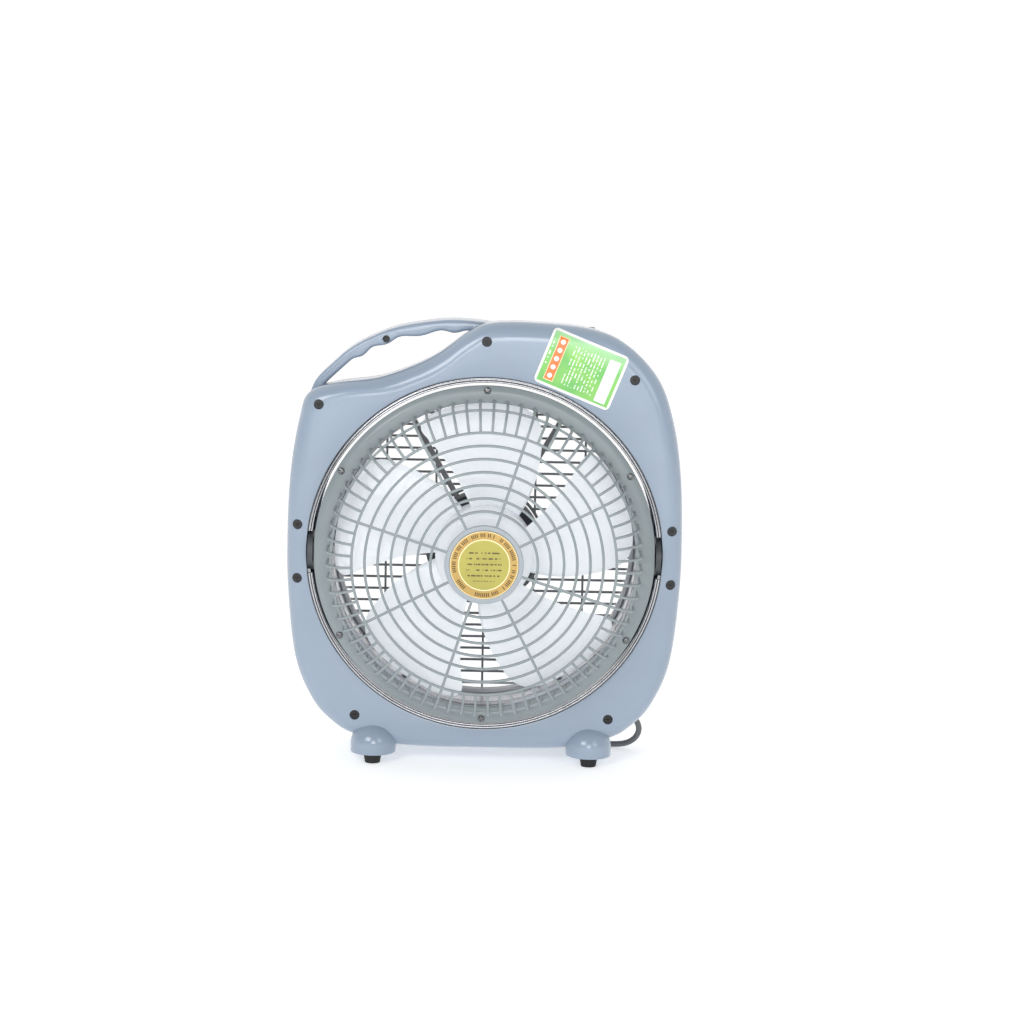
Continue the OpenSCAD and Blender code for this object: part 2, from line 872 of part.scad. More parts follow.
module motor_front_cover() {
    color("#34383c")
    difference() {
        turned([[shaft_r + 1, motor_front_y], [22, motor_front_y],
            [motor_r - 10, motor_front_y + 2], [motor_r, motor_front_y + 12],
            [motor_r, motor_mid_y - stator_half],
            [motor_r - 3, motor_mid_y - stator_half], [motor_r - 3, motor_front_y + 13],
            [motor_r - 12, motor_front_y + 5], [bearing_r + 4, motor_front_y + 3],
            [bearing_r + 4, motor_front_y + 9], [bearing_r, motor_front_y + 9],
            [bearing_r, motor_front_y + 2], [shaft_r + 1, motor_front_y + 2]]);
        for (k = [0:11])
            at_angle(k * 30)
                translate([30, motor_front_y - 5, -2])
                    cube([10, 14, 4]);
    }
}

module motor_rear_cover() {
    color("#34383c")
    difference() {
        turned([[0, motor_back_y], [22, motor_back_y], [motor_r - 10, motor_back_y - 3],
            [motor_r, motor_back_y - 14], [motor_r, motor_mid_y + stator_half],
            [motor_r - 3, motor_mid_y + stator_half], [motor_r - 3, motor_back_y - 15],
            [motor_r - 12, motor_back_y - 6], [bearing_r + 4, motor_back_y - 4],
            [bearing_r + 4, motor_back_y - 11], [bearing_r, motor_back_y - 11],
            [bearing_r, motor_back_y - 3], [0, motor_back_y - 3]]);
        for (k = [0:11])
            at_angle(k * 30)
                translate([29, motor_back_y - 12, -2])
                    cube([11, 20, 4]);
    }
}

slots = 16;
module stator_core() {
    color("#7b8085")
    difference() {
        tube_ring(rotor_r + 0.5, motor_r, motor_mid_y - stator_half, motor_mid_y + stator_half);
        for (k = [0:slots - 1])
            at_angle((k + 0.5) * 360 / slots)
                translate([rotor_r + 4, motor_mid_y - stator_half - 1, -2.5])
                    cube([14, 2 * stator_half + 2, 5]);
    }
}

module stator_windings() {
    color("#b5622e")
    for (k = [0:slots - 1])
        at_angle((k + 0.5) * 360 / slots)
            translate([rotor_r + 4.2, motor_mid_y - stator_half - 5, -2.3])
                cube([13.6, 2 * stator_half + 10, 4.6]);
}

module bush(y0, y1) {
    color("#b08d57")
    tube_ring(shaft_r, bearing_r, y0, y1);
}
module front_bearing() bush(motor_front_y + 2, motor_front_y + 9);
module rear_bearing() bush(motor_back_y - 11, motor_back_y - 3);

module motor_screws() {
    color("#c8ccd0")
    for (k = [0:3])
        at_angle(15 + 90 * k)
            translate([motor_r - 6, motor_mid_y + stator_half, 0])
                rotate([-90, 0, 0])
                    cylinder(r = 1.6, h = 4);
}

module rotor_core() {
    color("#8f9498")
    tube_ring(shaft_r - fit, rotor_r, motor_mid_y - stator_half, motor_mid_y + stator_half);
}

hub_front_y = ring_face_y + 2;
hub_back_y = motor_front_y - 5;
hub_r = 49;

module motor_shaft() {
    color("#c0c4c8")
    difference() {
        drum_disc(shaft_r - fit, hub_front_y - 12, motor_back_y - 4);
        pin_z([0, hub_back_y - 6], 1.2, axis_z - 20, axis_z + 20);
    }
}

module drive_pin() {
    color("#9a9c9e")
    pin_z([0, hub_back_y - 6], 1.2 - 0.02, axis_z - 8, axis_z + 8);
}

// Angle in the middle of a blade, and the angle it fills, at a radius
function blade_mid(r) = 301.6 + 0.18 * (r - 100);
function blade_fill(r) = 72 * 5 / blade_count - 17 - 0.1 * (r - 100);
// Depth of the blade's surface: u runs across the chord from the rear edge to the front edge
function blade_y(u, r) = hub_back_y - 3 - blade_depth * (0.08 + 0.92 * u)
    + 5 * sin(180 * u) * (0.4 + 0.6 * (r - hub_r) / (blade_r - hub_r));
// Chord shortened towards the tip so that its corners are round
function tip_trim(r) = let (c = 16, d = max(0, r - (blade_r - c)) / c)
    0.16 * (1 - sqrt(max(0, 1 - d * d)));

module blade() {
    across = 10;
    along = [47.6, 60, 78, 96, 114, blade_r - 16, blade_r - 9, blade_r - 4, blade_r - 1, blade_r];
    n = len(along);
    function at(i, j, side) = let (r = along[i], trim = tip_trim(r),
        u = trim + (1 - 2 * trim) * j / across,
        a = blade_mid(r) + blade_fill(r) * (u - 0.5))
        [r * cos(a), blade_y(u, r) + side * blade_t / 2, r * sin(a)];
    front = [for (i = [0:n - 1], j = [0:across]) at(i, j, -1)];
    back = [for (i = [0:n - 1], j = [0:across]) at(i, j, 1)];
    w = across + 1;
    size = n * w;
    quads = [for (i = [0:n - 2], j = [0:across - 1]) [i * w + j, i * w + j + 1,
        (i + 1) * w + j + 1, (i + 1) * w + j]];
    flip = [for (q = quads) [q[3] + size, q[2] + size, q[1] + size, q[0] + size]];
    rim = concat([for (j = [0:across]) j], [for (i = [1:n - 1]) i * w + across],
        [for (j = [across - 1:-1:0]) (n - 1) * w + j], [for (i = [n - 2:-1:1]) i * w]);
    m = len(rim);
    edge = [for (i = [0:m - 1]) [rim[(i + 1) % m], rim[i], rim[i] + size, rim[(i + 1) % m] + size]];
    triangles = [for (q = concat(quads, edge)) each [[q[0], q[1], q[2]], [q[0], q[2], q[3]]]];
    back_triangles = [for (q = flip) each [[q[0], q[1], q[3]], [q[1], q[2], q[3]]]];
    polyhedron(concat(front, back), concat(triangles, back_triangles), convexity = 4);
}

module blade_wheel() {
    color("#eef1f2")
    difference() {
        union() {
            for (k = [0:blade_count - 1])
                at_angle(k * 360 / blade_count)
                    blade();
            turned([[0, hub_front_y], [hub_r - 9, hub_front_y], [hub_r - 3, hub_front_y + 2.5],
                [hub_r, hub_front_y + 5], [hub_r, hub_back_y], [hub_r - 3, hub_back_y],
                [hub_r - 3, hub_front_y + 7], [hub_r - 8, hub_front_y + 3],
                [12, hub_front_y + 3], [12, hub_back_y], [0, hub_back_y]]);
        }
        drum_disc(shaft_r, hub_front_y - 5, hub_back_y + 5);
        translate([-1.5, hub_back_y - 7.5, axis_z - 9])
            cube([3, 10, 18]);
    }
}

module blade_nut() {
    color("#dfe4e6")
    difference() {
        union() {
            drum_disc(11, hub_front_y - 4, hub_front_y - 0.1);
            drum_disc(8, hub_front_y - 13, hub_front_y - 3.9);
        }
        drum_disc(shaft_r, hub_front_y - 12.2, hub_front_y + 5);
    }
}

front_shell();
rear_shell();
trim_ring();
shell_screws();
front_left_foot();
front_right_foot();
rear_left_foot();
rear_right_foot();
foot_pads();
foot_screws();
left_bearing();
right_bearing();
energy_label();
control_plate();
speed_switch();
speed_knob();
capacitor();
terminal_block();
cord_outlet();
cord_tube();
cord_coil();
cord_tail();
cord_tie();
plug_body();
plug_pins();
drum_duct();
front_grille();
hub_badge();
badge_rim();
ring_screws();
rear_guard();
guard_screws();
motor_bracket();
lead_tube();
left_pivot_pin();
right_pivot_pin();
motor_front_cover();
motor_rear_cover();
stator_core();
stator_windings();
front_bearing();
rear_bearing();
motor_screws();
rotor_core();
motor_shaft();
drive_pin();
blade_wheel();
blade_nut();
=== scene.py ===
"""Looks for the box fan: its camera, lights, cord, finely modelled pieces and procedural materials."""

import json
import math

import bmesh
import bpy
from mathutils import Matrix, Vector


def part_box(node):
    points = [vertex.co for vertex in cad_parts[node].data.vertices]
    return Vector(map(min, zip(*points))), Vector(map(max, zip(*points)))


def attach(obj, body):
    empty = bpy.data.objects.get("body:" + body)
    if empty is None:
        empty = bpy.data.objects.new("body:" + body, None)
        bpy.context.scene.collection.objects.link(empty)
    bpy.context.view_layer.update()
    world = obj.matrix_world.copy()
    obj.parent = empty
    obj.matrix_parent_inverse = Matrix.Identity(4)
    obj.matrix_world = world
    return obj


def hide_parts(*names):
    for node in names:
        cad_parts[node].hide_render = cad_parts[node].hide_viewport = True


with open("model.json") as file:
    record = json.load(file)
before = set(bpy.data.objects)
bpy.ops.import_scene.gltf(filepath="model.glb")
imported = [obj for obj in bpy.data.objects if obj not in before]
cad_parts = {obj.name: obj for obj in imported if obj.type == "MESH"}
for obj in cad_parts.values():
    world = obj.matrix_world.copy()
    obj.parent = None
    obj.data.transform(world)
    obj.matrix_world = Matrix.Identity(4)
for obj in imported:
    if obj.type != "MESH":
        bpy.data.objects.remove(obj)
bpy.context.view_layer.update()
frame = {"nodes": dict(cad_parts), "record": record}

MM = 0.001
JOINTS = {j["name"]: j for j in frame["record"]["behaviour"]["joints"]}
CENTRE = Vector(JOINTS["wheel_spin"]["pos_m"])
PIVOT_Y = JOINTS["drum_tilt"]["pos_m"][1]

# Depths that several pieces share, in metres, worked out from the frame
FACE_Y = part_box("front_shell")[0][1]
SPLIT_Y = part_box("front_shell")[1][1]
BACK_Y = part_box("rear_shell")[1][1]
RING_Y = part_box("drum_duct")[0][1] - 7 * MM
GRILLE_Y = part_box("front_grille")[0][1]


# ---------------------------------------------------------------- camera, lights and floor

SENSOR_WIDTH = 36
CAMERA_DISTANCE = 2.6
CAMERA_AZIMUTH = math.radians(0.1)
CAMERA_ELEVATION = math.radians(9.4)
CAMERA_ROLL = math.radians(1.1)
DRUM_IN_IMAGE = (0.4730, 0.5432)  # where the drum's centre stands, as fractions of the frame
METRES_ACROSS = 1.0145  # what the frame's width spans at the drum's front

WORLD_RAMP = {"From Min": -0.35, "From Max": 0.5, "To Min": 0.22, "To Max": 1.1}
FLOOR_SIZE = 40
FLOOR_DROP = 0.0002  # keeps the floor just under the pads
FLOOR_GLOW = 0.42


def add_camera():
    target = CENTRE + Vector((0, RING_Y, 0))
    back = Vector((
        math.sin(CAMERA_AZIMUTH) * math.cos(CAMERA_ELEVATION),
        -math.cos(CAMERA_AZIMUTH) * math.cos(CAMERA_ELEVATION),
        math.sin(CAMERA_ELEVATION),
    ))
    data = bpy.data.cameras.new("camera")
    data.sensor_width = SENSOR_WIDTH
    data.lens = SENSOR_WIDTH * CAMERA_DISTANCE / METRES_ACROSS
    data.clip_start, data.clip_end = 0.1, 60
    camera = bpy.data.objects.new("camera", data)
    bpy.context.collection.objects.link(camera)
    camera.rotation_mode = "QUATERNION"
    place = target + back * CAMERA_DISTANCE
    # Turn the view so that the drum stands left of and below the middle of the frame
    turn = (-back).to_track_quat("-Z", "Y").to_matrix() @ Matrix.Rotation(CAMERA_ROLL, 3, "Z")
    off_x = (0.5 - DRUM_IN_IMAGE[0]) * METRES_ACROSS
    off_y = (DRUM_IN_IMAGE[1] - 0.5) * METRES_ACROSS
    aim = target + turn @ Vector((off_x, off_y, 0))
    forward = (aim - place).normalized()
    up = turn @ Vector((0, 1, 0))
    side = forward.cross(up).normalized()
    up = side.cross(forward)
    camera.rotation_quaternion = Matrix((side, up, -forward)).transposed().to_quaternion()
    camera.location = place
    bpy.context.scene.camera = camera


LIGHT_TARGET = Vector((0, 0, 0.2))


def add_light(name, place, size, power):
    data = bpy.data.lights.new(name, "AREA")
    data.shape = "RECTANGLE"
    data.size, data.size_y = size
    data.energy = power
    light = bpy.data.objects.new(name, data)
    bpy.context.collection.objects.link(light)
    light.location = place
    light.rotation_mode = "QUATERNION"
    light.rotation_quaternion = (LIGHT_TARGET - Vector(place)).to_track_quat("-Z", "Y")


def add_world():
    world = bpy.data.worlds.new("studio")
    world.use_nodes = True
    tree = world.node_tree
    background = tree.nodes["Background"]
    background.inputs["Color"].default_value = (1, 1, 1, 1)
    # White ahead of the camera, greyer behind it, so that bright metal has something to mirror
    coords = tree.nodes.new("ShaderNodeTexCoord")
    split = tree.nodes.new("ShaderNodeSeparateXYZ")
    ramp = tree.nodes.new("ShaderNodeMapRange")
    for name, value in WORLD_RAMP.items():
        ramp.inputs[name].default_value = value
    tree.links.new(coords.outputs["Generated"], split.inputs["Vector"])
    tree.links.new(split.outputs["Y"], ramp.inputs["Value"])
    tree.links.new(ramp.outputs["Result"], background.inputs["Strength"])
    bpy.context.scene.world = world


def add_floor():
    bpy.ops.mesh.primitive_plane_add(size=FLOOR_SIZE, location=(0, 0, -FLOOR_DROP))
    floor = bpy.context.object
    floor.name = "floor"
    floor.data.materials.append(floor_material())


# ---------------------------------------------------------------- materials

def node_of(tree, kind, **inputs):
    node = tree.nodes.new(kind)
    for name, value in inputs.items():
        node.inputs[name].default_value = value
    return node


def floor_material():
    """A white studio floor, lit a little from within so that it meets the white background."""
    material = bpy.data.materials.new("floor_paint")
    material.use_nodes = True
    shader = material.node_tree.nodes["Principled BSDF"]
    shader.inputs["Base Color"].default_value = (0.9, 0.9, 0.9, 1)
    shader.inputs["Roughness"].default_value = 0.8
    shader.inputs["Emission Color"].default_value = (1, 1, 1, 1)
    shader.inputs["Emission Strength"].default_value = FLOOR_GLOW
    return material


def finish_material(name, colour, roughness, *, vary=0.05, patch=30, grain=900, bump=0.05,
                    streak=None, rough_vary=0.06, **shader_values):
    """A moulded or metal finish: slow patches of tone, a fine grain in the bump, and uneven gloss."""
    material = bpy.data.materials.new(name)
    material.use_nodes = True
    tree = material.node_tree
    shader = tree.nodes["Principled BSDF"]
    for key, value in shader_values.items():
        shader.inputs[key.replace("_", " ")].default_value = value
    coords = tree.nodes.new("ShaderNodeTexCoord")
    mapping = tree.nodes.new("ShaderNodeMapping")
    if streak:
        mapping.inputs["Scale"].default_value = streak
    tree.links.new(coords.outputs["Object"], mapping.inputs["Vector"])

    patches = node_of(tree, "ShaderNodeTexNoise", Scale=patch, Detail=3.0)
    fine = node_of(tree, "ShaderNodeTexNoise", Scale=grain, Detail=2.0)
    for noise in (patches, fine):
        tree.links.new(mapping.outputs["Vector"], noise.inputs["Vector"])

    tone = tree.nodes.new("ShaderNodeValToRGB")
    tone.color_ramp.elements[0].position = 0.3
    tone.color_ramp.elements[1].position = 0.7
    tone.color_ramp.elements[0].color = (*[c * (1 - vary) for c in colour], 1)
    tone.color_ramp.elements[1].color = (*[min(1, c * (1 + vary)) for c in colour], 1)
    tree.links.new(patches.outputs["Fac"], tone.inputs["Fac"])
    tree.links.new(tone.outputs["Color"], shader.inputs["Base Color"])

    gloss = tree.nodes.new("ShaderNodeMapRange")
    gloss.inputs["To Min"].default_value = max(0.02, roughness - rough_vary)
    gloss.inputs["To Max"].default_value = roughness + rough_vary
    tree.links.new(patches.outputs["Fac"], gloss.inputs["Value"])
    tree.links.new(gloss.outputs["Result"], shader.inputs["Roughness"])

    relief = node_of(tree, "ShaderNodeBump", Strength=bump, Distance=0.0004)
    tree.links.new(fine.outputs["Fac"], relief.inputs["Height"])
    tree.links.new(relief.outputs["Normal"], shader.inputs["Normal"])
    return material


def value_of(tree, operation, *inputs):
    """A math node. Each input is a socket or a number."""
    node = tree.nodes.new("ShaderNodeMath")
    node.operation = operation
    for slot, given in zip(node.inputs, inputs):
        if isinstance(given, (int, float)):
            slot.default_value = given
        else:
            tree.links.new(given, slot)
    return node.outputs["Value"]


def between(tree, value, low, high):
    return value_of(tree, "MULTIPLY", value_of(tree, "GREATER_THAN", value, low),
                    value_of(tree, "LESS_THAN", value, high))


def along(tree, direction, origin):
    """Distance in millimetres along a direction from an origin, in the piece's own coordinates."""
    coords = tree.nodes.new("ShaderNodeTexCoord")
    moved = tree.nodes.new("ShaderNodeVectorMath")
    moved.operation = "SUBTRACT"
    moved.inputs[1].default_value = origin
    tree.links.new(coords.outputs["Object"], moved.inputs[0])
    dot = tree.nodes.new("ShaderNodeVectorMath")
    dot.operation = "DOT_PRODUCT"
    dot.inputs[1].default_value = Vector(direction) / MM
    tree.links.new(moved.outputs["Vector"], dot.inputs[0])
    return dot.outputs["Value"]


def paint_over(material, mask, colour):
    """Lays a colour over what the shader's base colour is now, where the mask is 1."""
    tree = material.node_tree
    base = tree.nodes["Principled BSDF"].inputs["Base Color"]
    mix = tree.nodes.new("ShaderNodeMix")
    mix.data_type = "RGBA"
    tree.links.new(mask, mix.inputs[0])
    tree.links.new(base.links[0].from_socket, mix.inputs[6])
    mix.inputs[7].default_value = (*colour, 1)
    tree.links.new(mix.outputs[2], base)


def axis_distance(tree):
    x = along(tree, (1, 0, 0), CENTRE)
    z = along(tree, (0, 0, 1), CENTRE)
    return value_of(tree, "SQRT", value_of(tree, "ADD", value_of(tree, "MULTIPLY", x, x),
                                           value_of(tree, "MULTIPLY", z, z)))


def block(tree, u, v, area):
    """1 inside a rectangle, given as its low and high u and its low and high v."""
    return value_of(tree, "MULTIPLY", between(tree, u, *area[:2]), between(tree, v, *area[2:]))


ROW_SHIFT = 7.3  # how far apart the rows lie in the noise that breaks them up
STROKE_ABOVE = 0.47


def dashes(tree, across, run, pitch, weight, scale):
    """Rows of broken thin strokes that stand for print: across the rows and along their run."""
    row = value_of(tree, "DIVIDE", across, pitch)
    inside = value_of(tree, "LESS_THAN", value_of(tree, "FRACT", row), weight)
    number = value_of(tree, "FLOOR", row)
    place = tree.nodes.new("ShaderNodeCombineXYZ")
    tree.links.new(value_of(tree, "MULTIPLY", run, scale), place.inputs["X"])
    tree.links.new(value_of(tree, "MULTIPLY", number, ROW_SHIFT), place.inputs["Y"])
    noise = node_of(tree, "ShaderNodeTexNoise", Scale=1.0, Detail=1.0)
    tree.links.new(place.outputs["Vector"], noise.inputs["Vector"])
    stroke = value_of(tree, "GREATER_THAN", noise.outputs["Fac"], STROKE_ABOVE)
    return value_of(tree, "MULTIPLY", inside, stroke)


LABEL_PLACE = (92 * MM, 187 * MM)
LABEL_TURN = math.radians(-21.5)

# Areas on the label in millimetres from its middle, as low and high u, low and high v
LABEL_FACE = (-37.5, 37.5, -26, 26)
LABEL_TEXT = (-16, 19, -21, 19)
LABEL_HEADING = (-36, -34.6, -8, 18)
LABEL_BAND = (-31, -22.5, -22, 22)
LABEL_BAND_EDGE = (-31.8, -21.7, -22.8, 22.8)
LABEL_PANEL = (22.5, 34, -24, 20)
LABEL_PANEL_TEXT = (24, 32.5, -12, 17)
DOT_PITCH = 8.8
DOT_R_SQUARED = 6.2

PRINT_WHITE = (0.9, 0.95, 0.88)
LABEL_COLOURS = {
    "patches": (0.42, 0.78, 0.12),
    "painted_highlight_top": (0.62, 0.86, 0.68),
    "band_edge": (0.95, 0.72, 0.45),
    "band": (0.9, 0.2, 0.03),
    "dots": (0.92, 0.9, 0.88),
    "panel": (0.86, 0.88, 0.87),
    "panel_text": (0.62, 0.66, 0.66),
    "edge": (0.9, 0.92, 0.9),
}


def print_label(material):
    """Green film with a white edge, an orange band of five dots, rows of strokes and a panel, and a
    painted highlight over its upper part.
    """
    tree = material.node_tree
    middle = CENTRE + Vector((LABEL_PLACE[0], 0, LABEL_PLACE[1]))
    c, s = math.cos(LABEL_TURN), math.sin(LABEL_TURN)
    u = along(tree, (c, 0, s), middle)
    v = along(tree, (-s, 0, c), middle)

    glow = node_of(tree, "ShaderNodeTexNoise", Scale=55.0, Detail=1.0)
    coords = tree.nodes.new("ShaderNodeTexCoord")
    tree.links.new(coords.outputs["Object"], glow.inputs["Vector"])
    paint_over(material, value_of(tree, "MULTIPLY", glow.outputs["Fac"], 0.75),
               LABEL_COLOURS["patches"])
    # The film is painted paler towards its top: a painted highlight where it wraps over the housing's
    # rounded edge.
    upper = tree.nodes.new("ShaderNodeMapRange")
    upper.inputs["From Min"].default_value = 8
    upper.inputs["From Max"].default_value = 30
    upper.inputs["To Max"].default_value = 0.55
    tree.links.new(v, upper.inputs["Value"])
    paint_over(material, upper.outputs["Result"], LABEL_COLOURS["painted_highlight_top"])

    text = value_of(tree, "MULTIPLY", block(tree, u, v, LABEL_TEXT),
                    dashes(tree, u, v, pitch=3.4, weight=0.3, scale=0.35))
    paint_over(material, text, PRINT_WHITE)
    heading = value_of(tree, "MULTIPLY", block(tree, u, v, LABEL_HEADING),
                       dashes(tree, u, v, pitch=50.0, weight=1.1, scale=0.35))
    paint_over(material, heading, PRINT_WHITE)

    band = block(tree, u, v, LABEL_BAND)
    paint_over(material, block(tree, u, v, LABEL_BAND_EDGE), LABEL_COLOURS["band_edge"])
    paint_over(material, band, LABEL_COLOURS["band"])
    dot_number = value_of(tree, "DIVIDE", value_of(tree, "SUBTRACT", v, LABEL_BAND[2]), DOT_PITCH)
    across = value_of(tree, "SUBTRACT", value_of(tree, "FRACT", dot_number), 0.5)
    across = value_of(tree, "MULTIPLY", across, DOT_PITCH)
    beside = value_of(tree, "SUBTRACT", u, (LABEL_BAND[0] + LABEL_BAND[1]) / 2)
    far = value_of(tree, "ADD", value_of(tree, "POWER", across, 2.0),
                   value_of(tree, "POWER", beside, 2.0))
    dots = value_of(tree, "MULTIPLY", band, value_of(tree, "LESS_THAN", far, DOT_R_SQUARED))
    paint_over(material, dots, LABEL_COLOURS["dots"])

    paint_over(material, block(tree, u, v, LABEL_PANEL), LABEL_COLOURS["panel"])
    faint = value_of(tree, "MULTIPLY", block(tree, u, v, LABEL_PANEL_TEXT),
                     dashes(tree, u, v, pitch=2.2, weight=0.25, scale=0.5))
    paint_over(material, faint, LABEL_COLOURS["panel_text"])
    outside = value_of(tree, "SUBTRACT", 1.0, block(tree, u, v, LABEL_FACE))
    paint_over(material, outside, LABEL_COLOURS["edge"])


# Distances from the drum's axis on the badge and its band, in millimetres
BADGE_TEXT = (-16, 13, -17, 17)
BADGE_TEXT_R = 19.0
BADGE_RING_R = 24.4
RIM_TEXT_R = (27.6, 31.2)
RIM_EDGE_R = 32.7
RIM_STROKE_RATE = 10.0
NEAR_HUB_R = 39.0
PAINTED_LIGHT_RIM_R = 146.0
# Radii of painted shade on the trim ring: the gap between its beads and the gap at its outer edge
BEAD_GAP_SHADE_R = (173.6, 174.2)
OUTER_GAP_SHADE_R = 176.1


def print_badge(gold, rim):
    """Pale rings and rows of strokes on the gold disc, and a round of strokes on its band."""
    tree = gold.node_tree
    far = axis_distance(tree)
    x, z = along(tree, (1, 0, 0), CENTRE), along(tree, (0, 0, 1), CENTRE)
    rows = block(tree, z, x, BADGE_TEXT)
    rows = value_of(tree, "MULTIPLY", rows, value_of(tree, "LESS_THAN", far, BADGE_TEXT_R))
    rows = value_of(tree, "MULTIPLY", rows, dashes(tree, z, x, pitch=5.6, weight=0.26, scale=0.5))
    paint_over(gold, rows, (0.09, 0.07, 0.03))
    paint_over(gold, value_of(tree, "GREATER_THAN", far, BADGE_RING_R), (0.9, 0.82, 0.5))

    tree = rim.node_tree
    far = axis_distance(tree)
    x, z = along(tree, (1, 0, 0), CENTRE), along(tree, (0, 0, 1), CENTRE)
    turn = value_of(tree, "MULTIPLY", value_of(tree, "ARCTAN2", z, x), RIM_STROKE_RATE)
    strokes = value_of(tree, "MULTIPLY", between(tree, far, *RIM_TEXT_R),
                       dashes(tree, turn, far, pitch=0.62, weight=0.55, scale=0.0))
    paint_over(rim, strokes, (0.09, 0.045, 0.015))
    paint_over(rim, value_of(tree, "GREATER_THAN", far, RIM_EDGE_R), (0.9, 0.78, 0.5))


def tint_rings():
    """A paler hub on the grille, rims at the drum's rear painted paler as painted light, and painted
    shade in the grooves beside the beads.
    """
    grille = MATERIALS["grille_plastic"]
    near = value_of(grille.node_tree, "LESS_THAN", axis_distance(grille.node_tree), NEAR_HUB_R)
    paint_over(grille, near, (0.36, 0.40, 0.44))
    # The outer ends of the rear guard and of the bracket are painted paler than their arms: painted
    # light, as if they were brightly lit.
    for slot in ("guard_plastic", "bracket_paint"):
        tree = MATERIALS[slot].node_tree
        far = value_of(tree, "GREATER_THAN", axis_distance(tree), PAINTED_LIGHT_RIM_R)
        paint_over(MATERIALS[slot], far, (0.42, 0.43, 0.45))
    trim = MATERIALS["trim_chrome"]
    tree = trim.node_tree
    far = axis_distance(tree)
    # Painted shade: a near-black strip outside the outer bead, where the trim meets the housing, and a
    # dark strip in the gap between the two beads.
    paint_over(trim, value_of(tree, "GREATER_THAN", far, OUTER_GAP_SHADE_R), (0.04, 0.04, 0.045))
    paint_over(trim, between(tree, far, *BEAD_GAP_SHADE_R), (0.1, 0.1, 0.11))


def make_materials():
    coat = {"Coat_Weight": 0.35, "Coat_Roughness": 0.08}
    metal = {"Metallic": 1.0}
    return {
        "body_plastic": finish_material("body_plastic", (0.295, 0.365, 0.46), 0.22, vary=0.03,
                                        patch=14, bump=0.03, **coat),
        "grille_plastic": finish_material("grille_plastic", (0.26, 0.30, 0.315), 0.3, vary=0.04,
                                          bump=0.05),
        "trim_chrome": finish_material("trim_chrome", (0.5, 0.51, 0.53), 0.2, vary=0.02,
                                       rough_vary=0.02, bump=0.0, **metal),
        "black_screws": finish_material("black_screws", (0.012, 0.012, 0.014), 0.4, vary=0.2,
                                        bump=0.1),
        "steel_screws": finish_material("steel_screws", (0.2, 0.205, 0.21), 0.28, bump=0.08,
                                        **metal),
        "pad_rubber": finish_material("pad_rubber", (0.014, 0.014, 0.015), 0.75, vary=0.25,
                                      bump=0.25),
        "pivot_plastic": finish_material("pivot_plastic", (0.06, 0.068, 0.075), 0.45, vary=0.1,
                                         bump=0.1),
        "control_plastic": finish_material("control_plastic", (0.03, 0.033, 0.037), 0.4, vary=0.1,
                                           bump=0.08),
        "switch_plastic": finish_material("switch_plastic", (0.62, 0.58, 0.46), 0.5, bump=0.1),
        "capacitor_case": finish_material("capacitor_case", (0.02, 0.02, 0.022), 0.45, bump=0.1),
        "tie_plastic": finish_material("tie_plastic", (0.015, 0.015, 0.016), 0.5, bump=0.1),
        "cord_pvc": finish_material("cord_pvc", (0.13, 0.135, 0.14), 0.48, vary=0.08, bump=0.12),
        "plug_pvc": finish_material("plug_pvc", (0.11, 0.115, 0.12), 0.5, vary=0.08, bump=0.15),
        "pin_brass": finish_material("pin_brass", (0.74, 0.58, 0.3), 0.25, bump=0.05, **metal),
        "duct_metal": finish_material("duct_metal", (0.5, 0.51, 0.54), 0.24, bump=0.04,
                                      streak=(1, 8, 1), **metal),
        "badge_gold": finish_material("badge_gold", (0.42, 0.38, 0.09), 0.35, vary=0.1, bump=0.1,
                                      Metallic=0.35),
        "badge_rim": finish_material("badge_rim", (0.50, 0.33, 0.10), 0.33, vary=0.08, bump=0.1,
                                     Metallic=0.35),
        "guard_plastic": finish_material("guard_plastic", (0.13, 0.14, 0.15), 0.45, vary=0.1,
                                         bump=0.1),
        "bracket_paint": finish_material("bracket_paint", (0.10, 0.105, 0.11), 0.4, vary=0.15,
                                         bump=0.1),
        "tube_metal": finish_material("tube_metal", (0.42, 0.44, 0.47), 0.3, bump=0.08, **metal),
        "motor_paint": finish_material("motor_paint", (0.03, 0.034, 0.038), 0.42, vary=0.15,
                                       bump=0.12),
        "core_steel": finish_material("core_steel", (0.3, 0.3, 0.31), 0.45, bump=0.3,
                                      streak=(1, 30, 1), **metal),
        "winding_copper": finish_material("winding_copper", (0.6, 0.24, 0.09), 0.35, bump=0.2,
                                          **metal),
        "bush_bronze": finish_material("bush_bronze", (0.55, 0.4, 0.2), 0.45, bump=0.2, **metal),
        "shaft_steel": finish_material("shaft_steel", (0.7, 0.7, 0.72), 0.2, bump=0.05, **metal),
        # The blades glow weakly (emission 0.13): painted light for light coming through translucent
        # plastic; a real blade gives off no light.
        "blade_plastic": finish_material("blade_plastic", (0.86, 0.89, 0.92), 0.5, vary=0.01,
                                         bump=0.03, Transmission_Weight=0.2, IOR=1.3,
                                         Coat_Weight=0.3, Emission_Color=(0.93, 0.97, 1, 1),
                                         Emission_Strength=0.13),
        "nut_plastic": finish_material("nut_plastic", (0.7, 0.74, 0.77), 0.35, bump=0.05),
        "label_film": finish_material("label_film", (0.08, 0.46, 0.12), 0.3, bump=0.02),
    }


# ---------------------------------------------------------------- mesh helpers

def new_piece(name, mesh, slot, body, stands_for=(), smooth_angle=40):
    piece = bpy.data.objects.new(name, mesh)
    bpy.context.collection.objects.link(piece)
    mesh.materials.clear()
    mesh.materials.append(MATERIALS[slot])
    shade(piece, smooth_angle)
    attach(piece, body)
    if stands_for:
        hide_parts(*stands_for)
    return piece


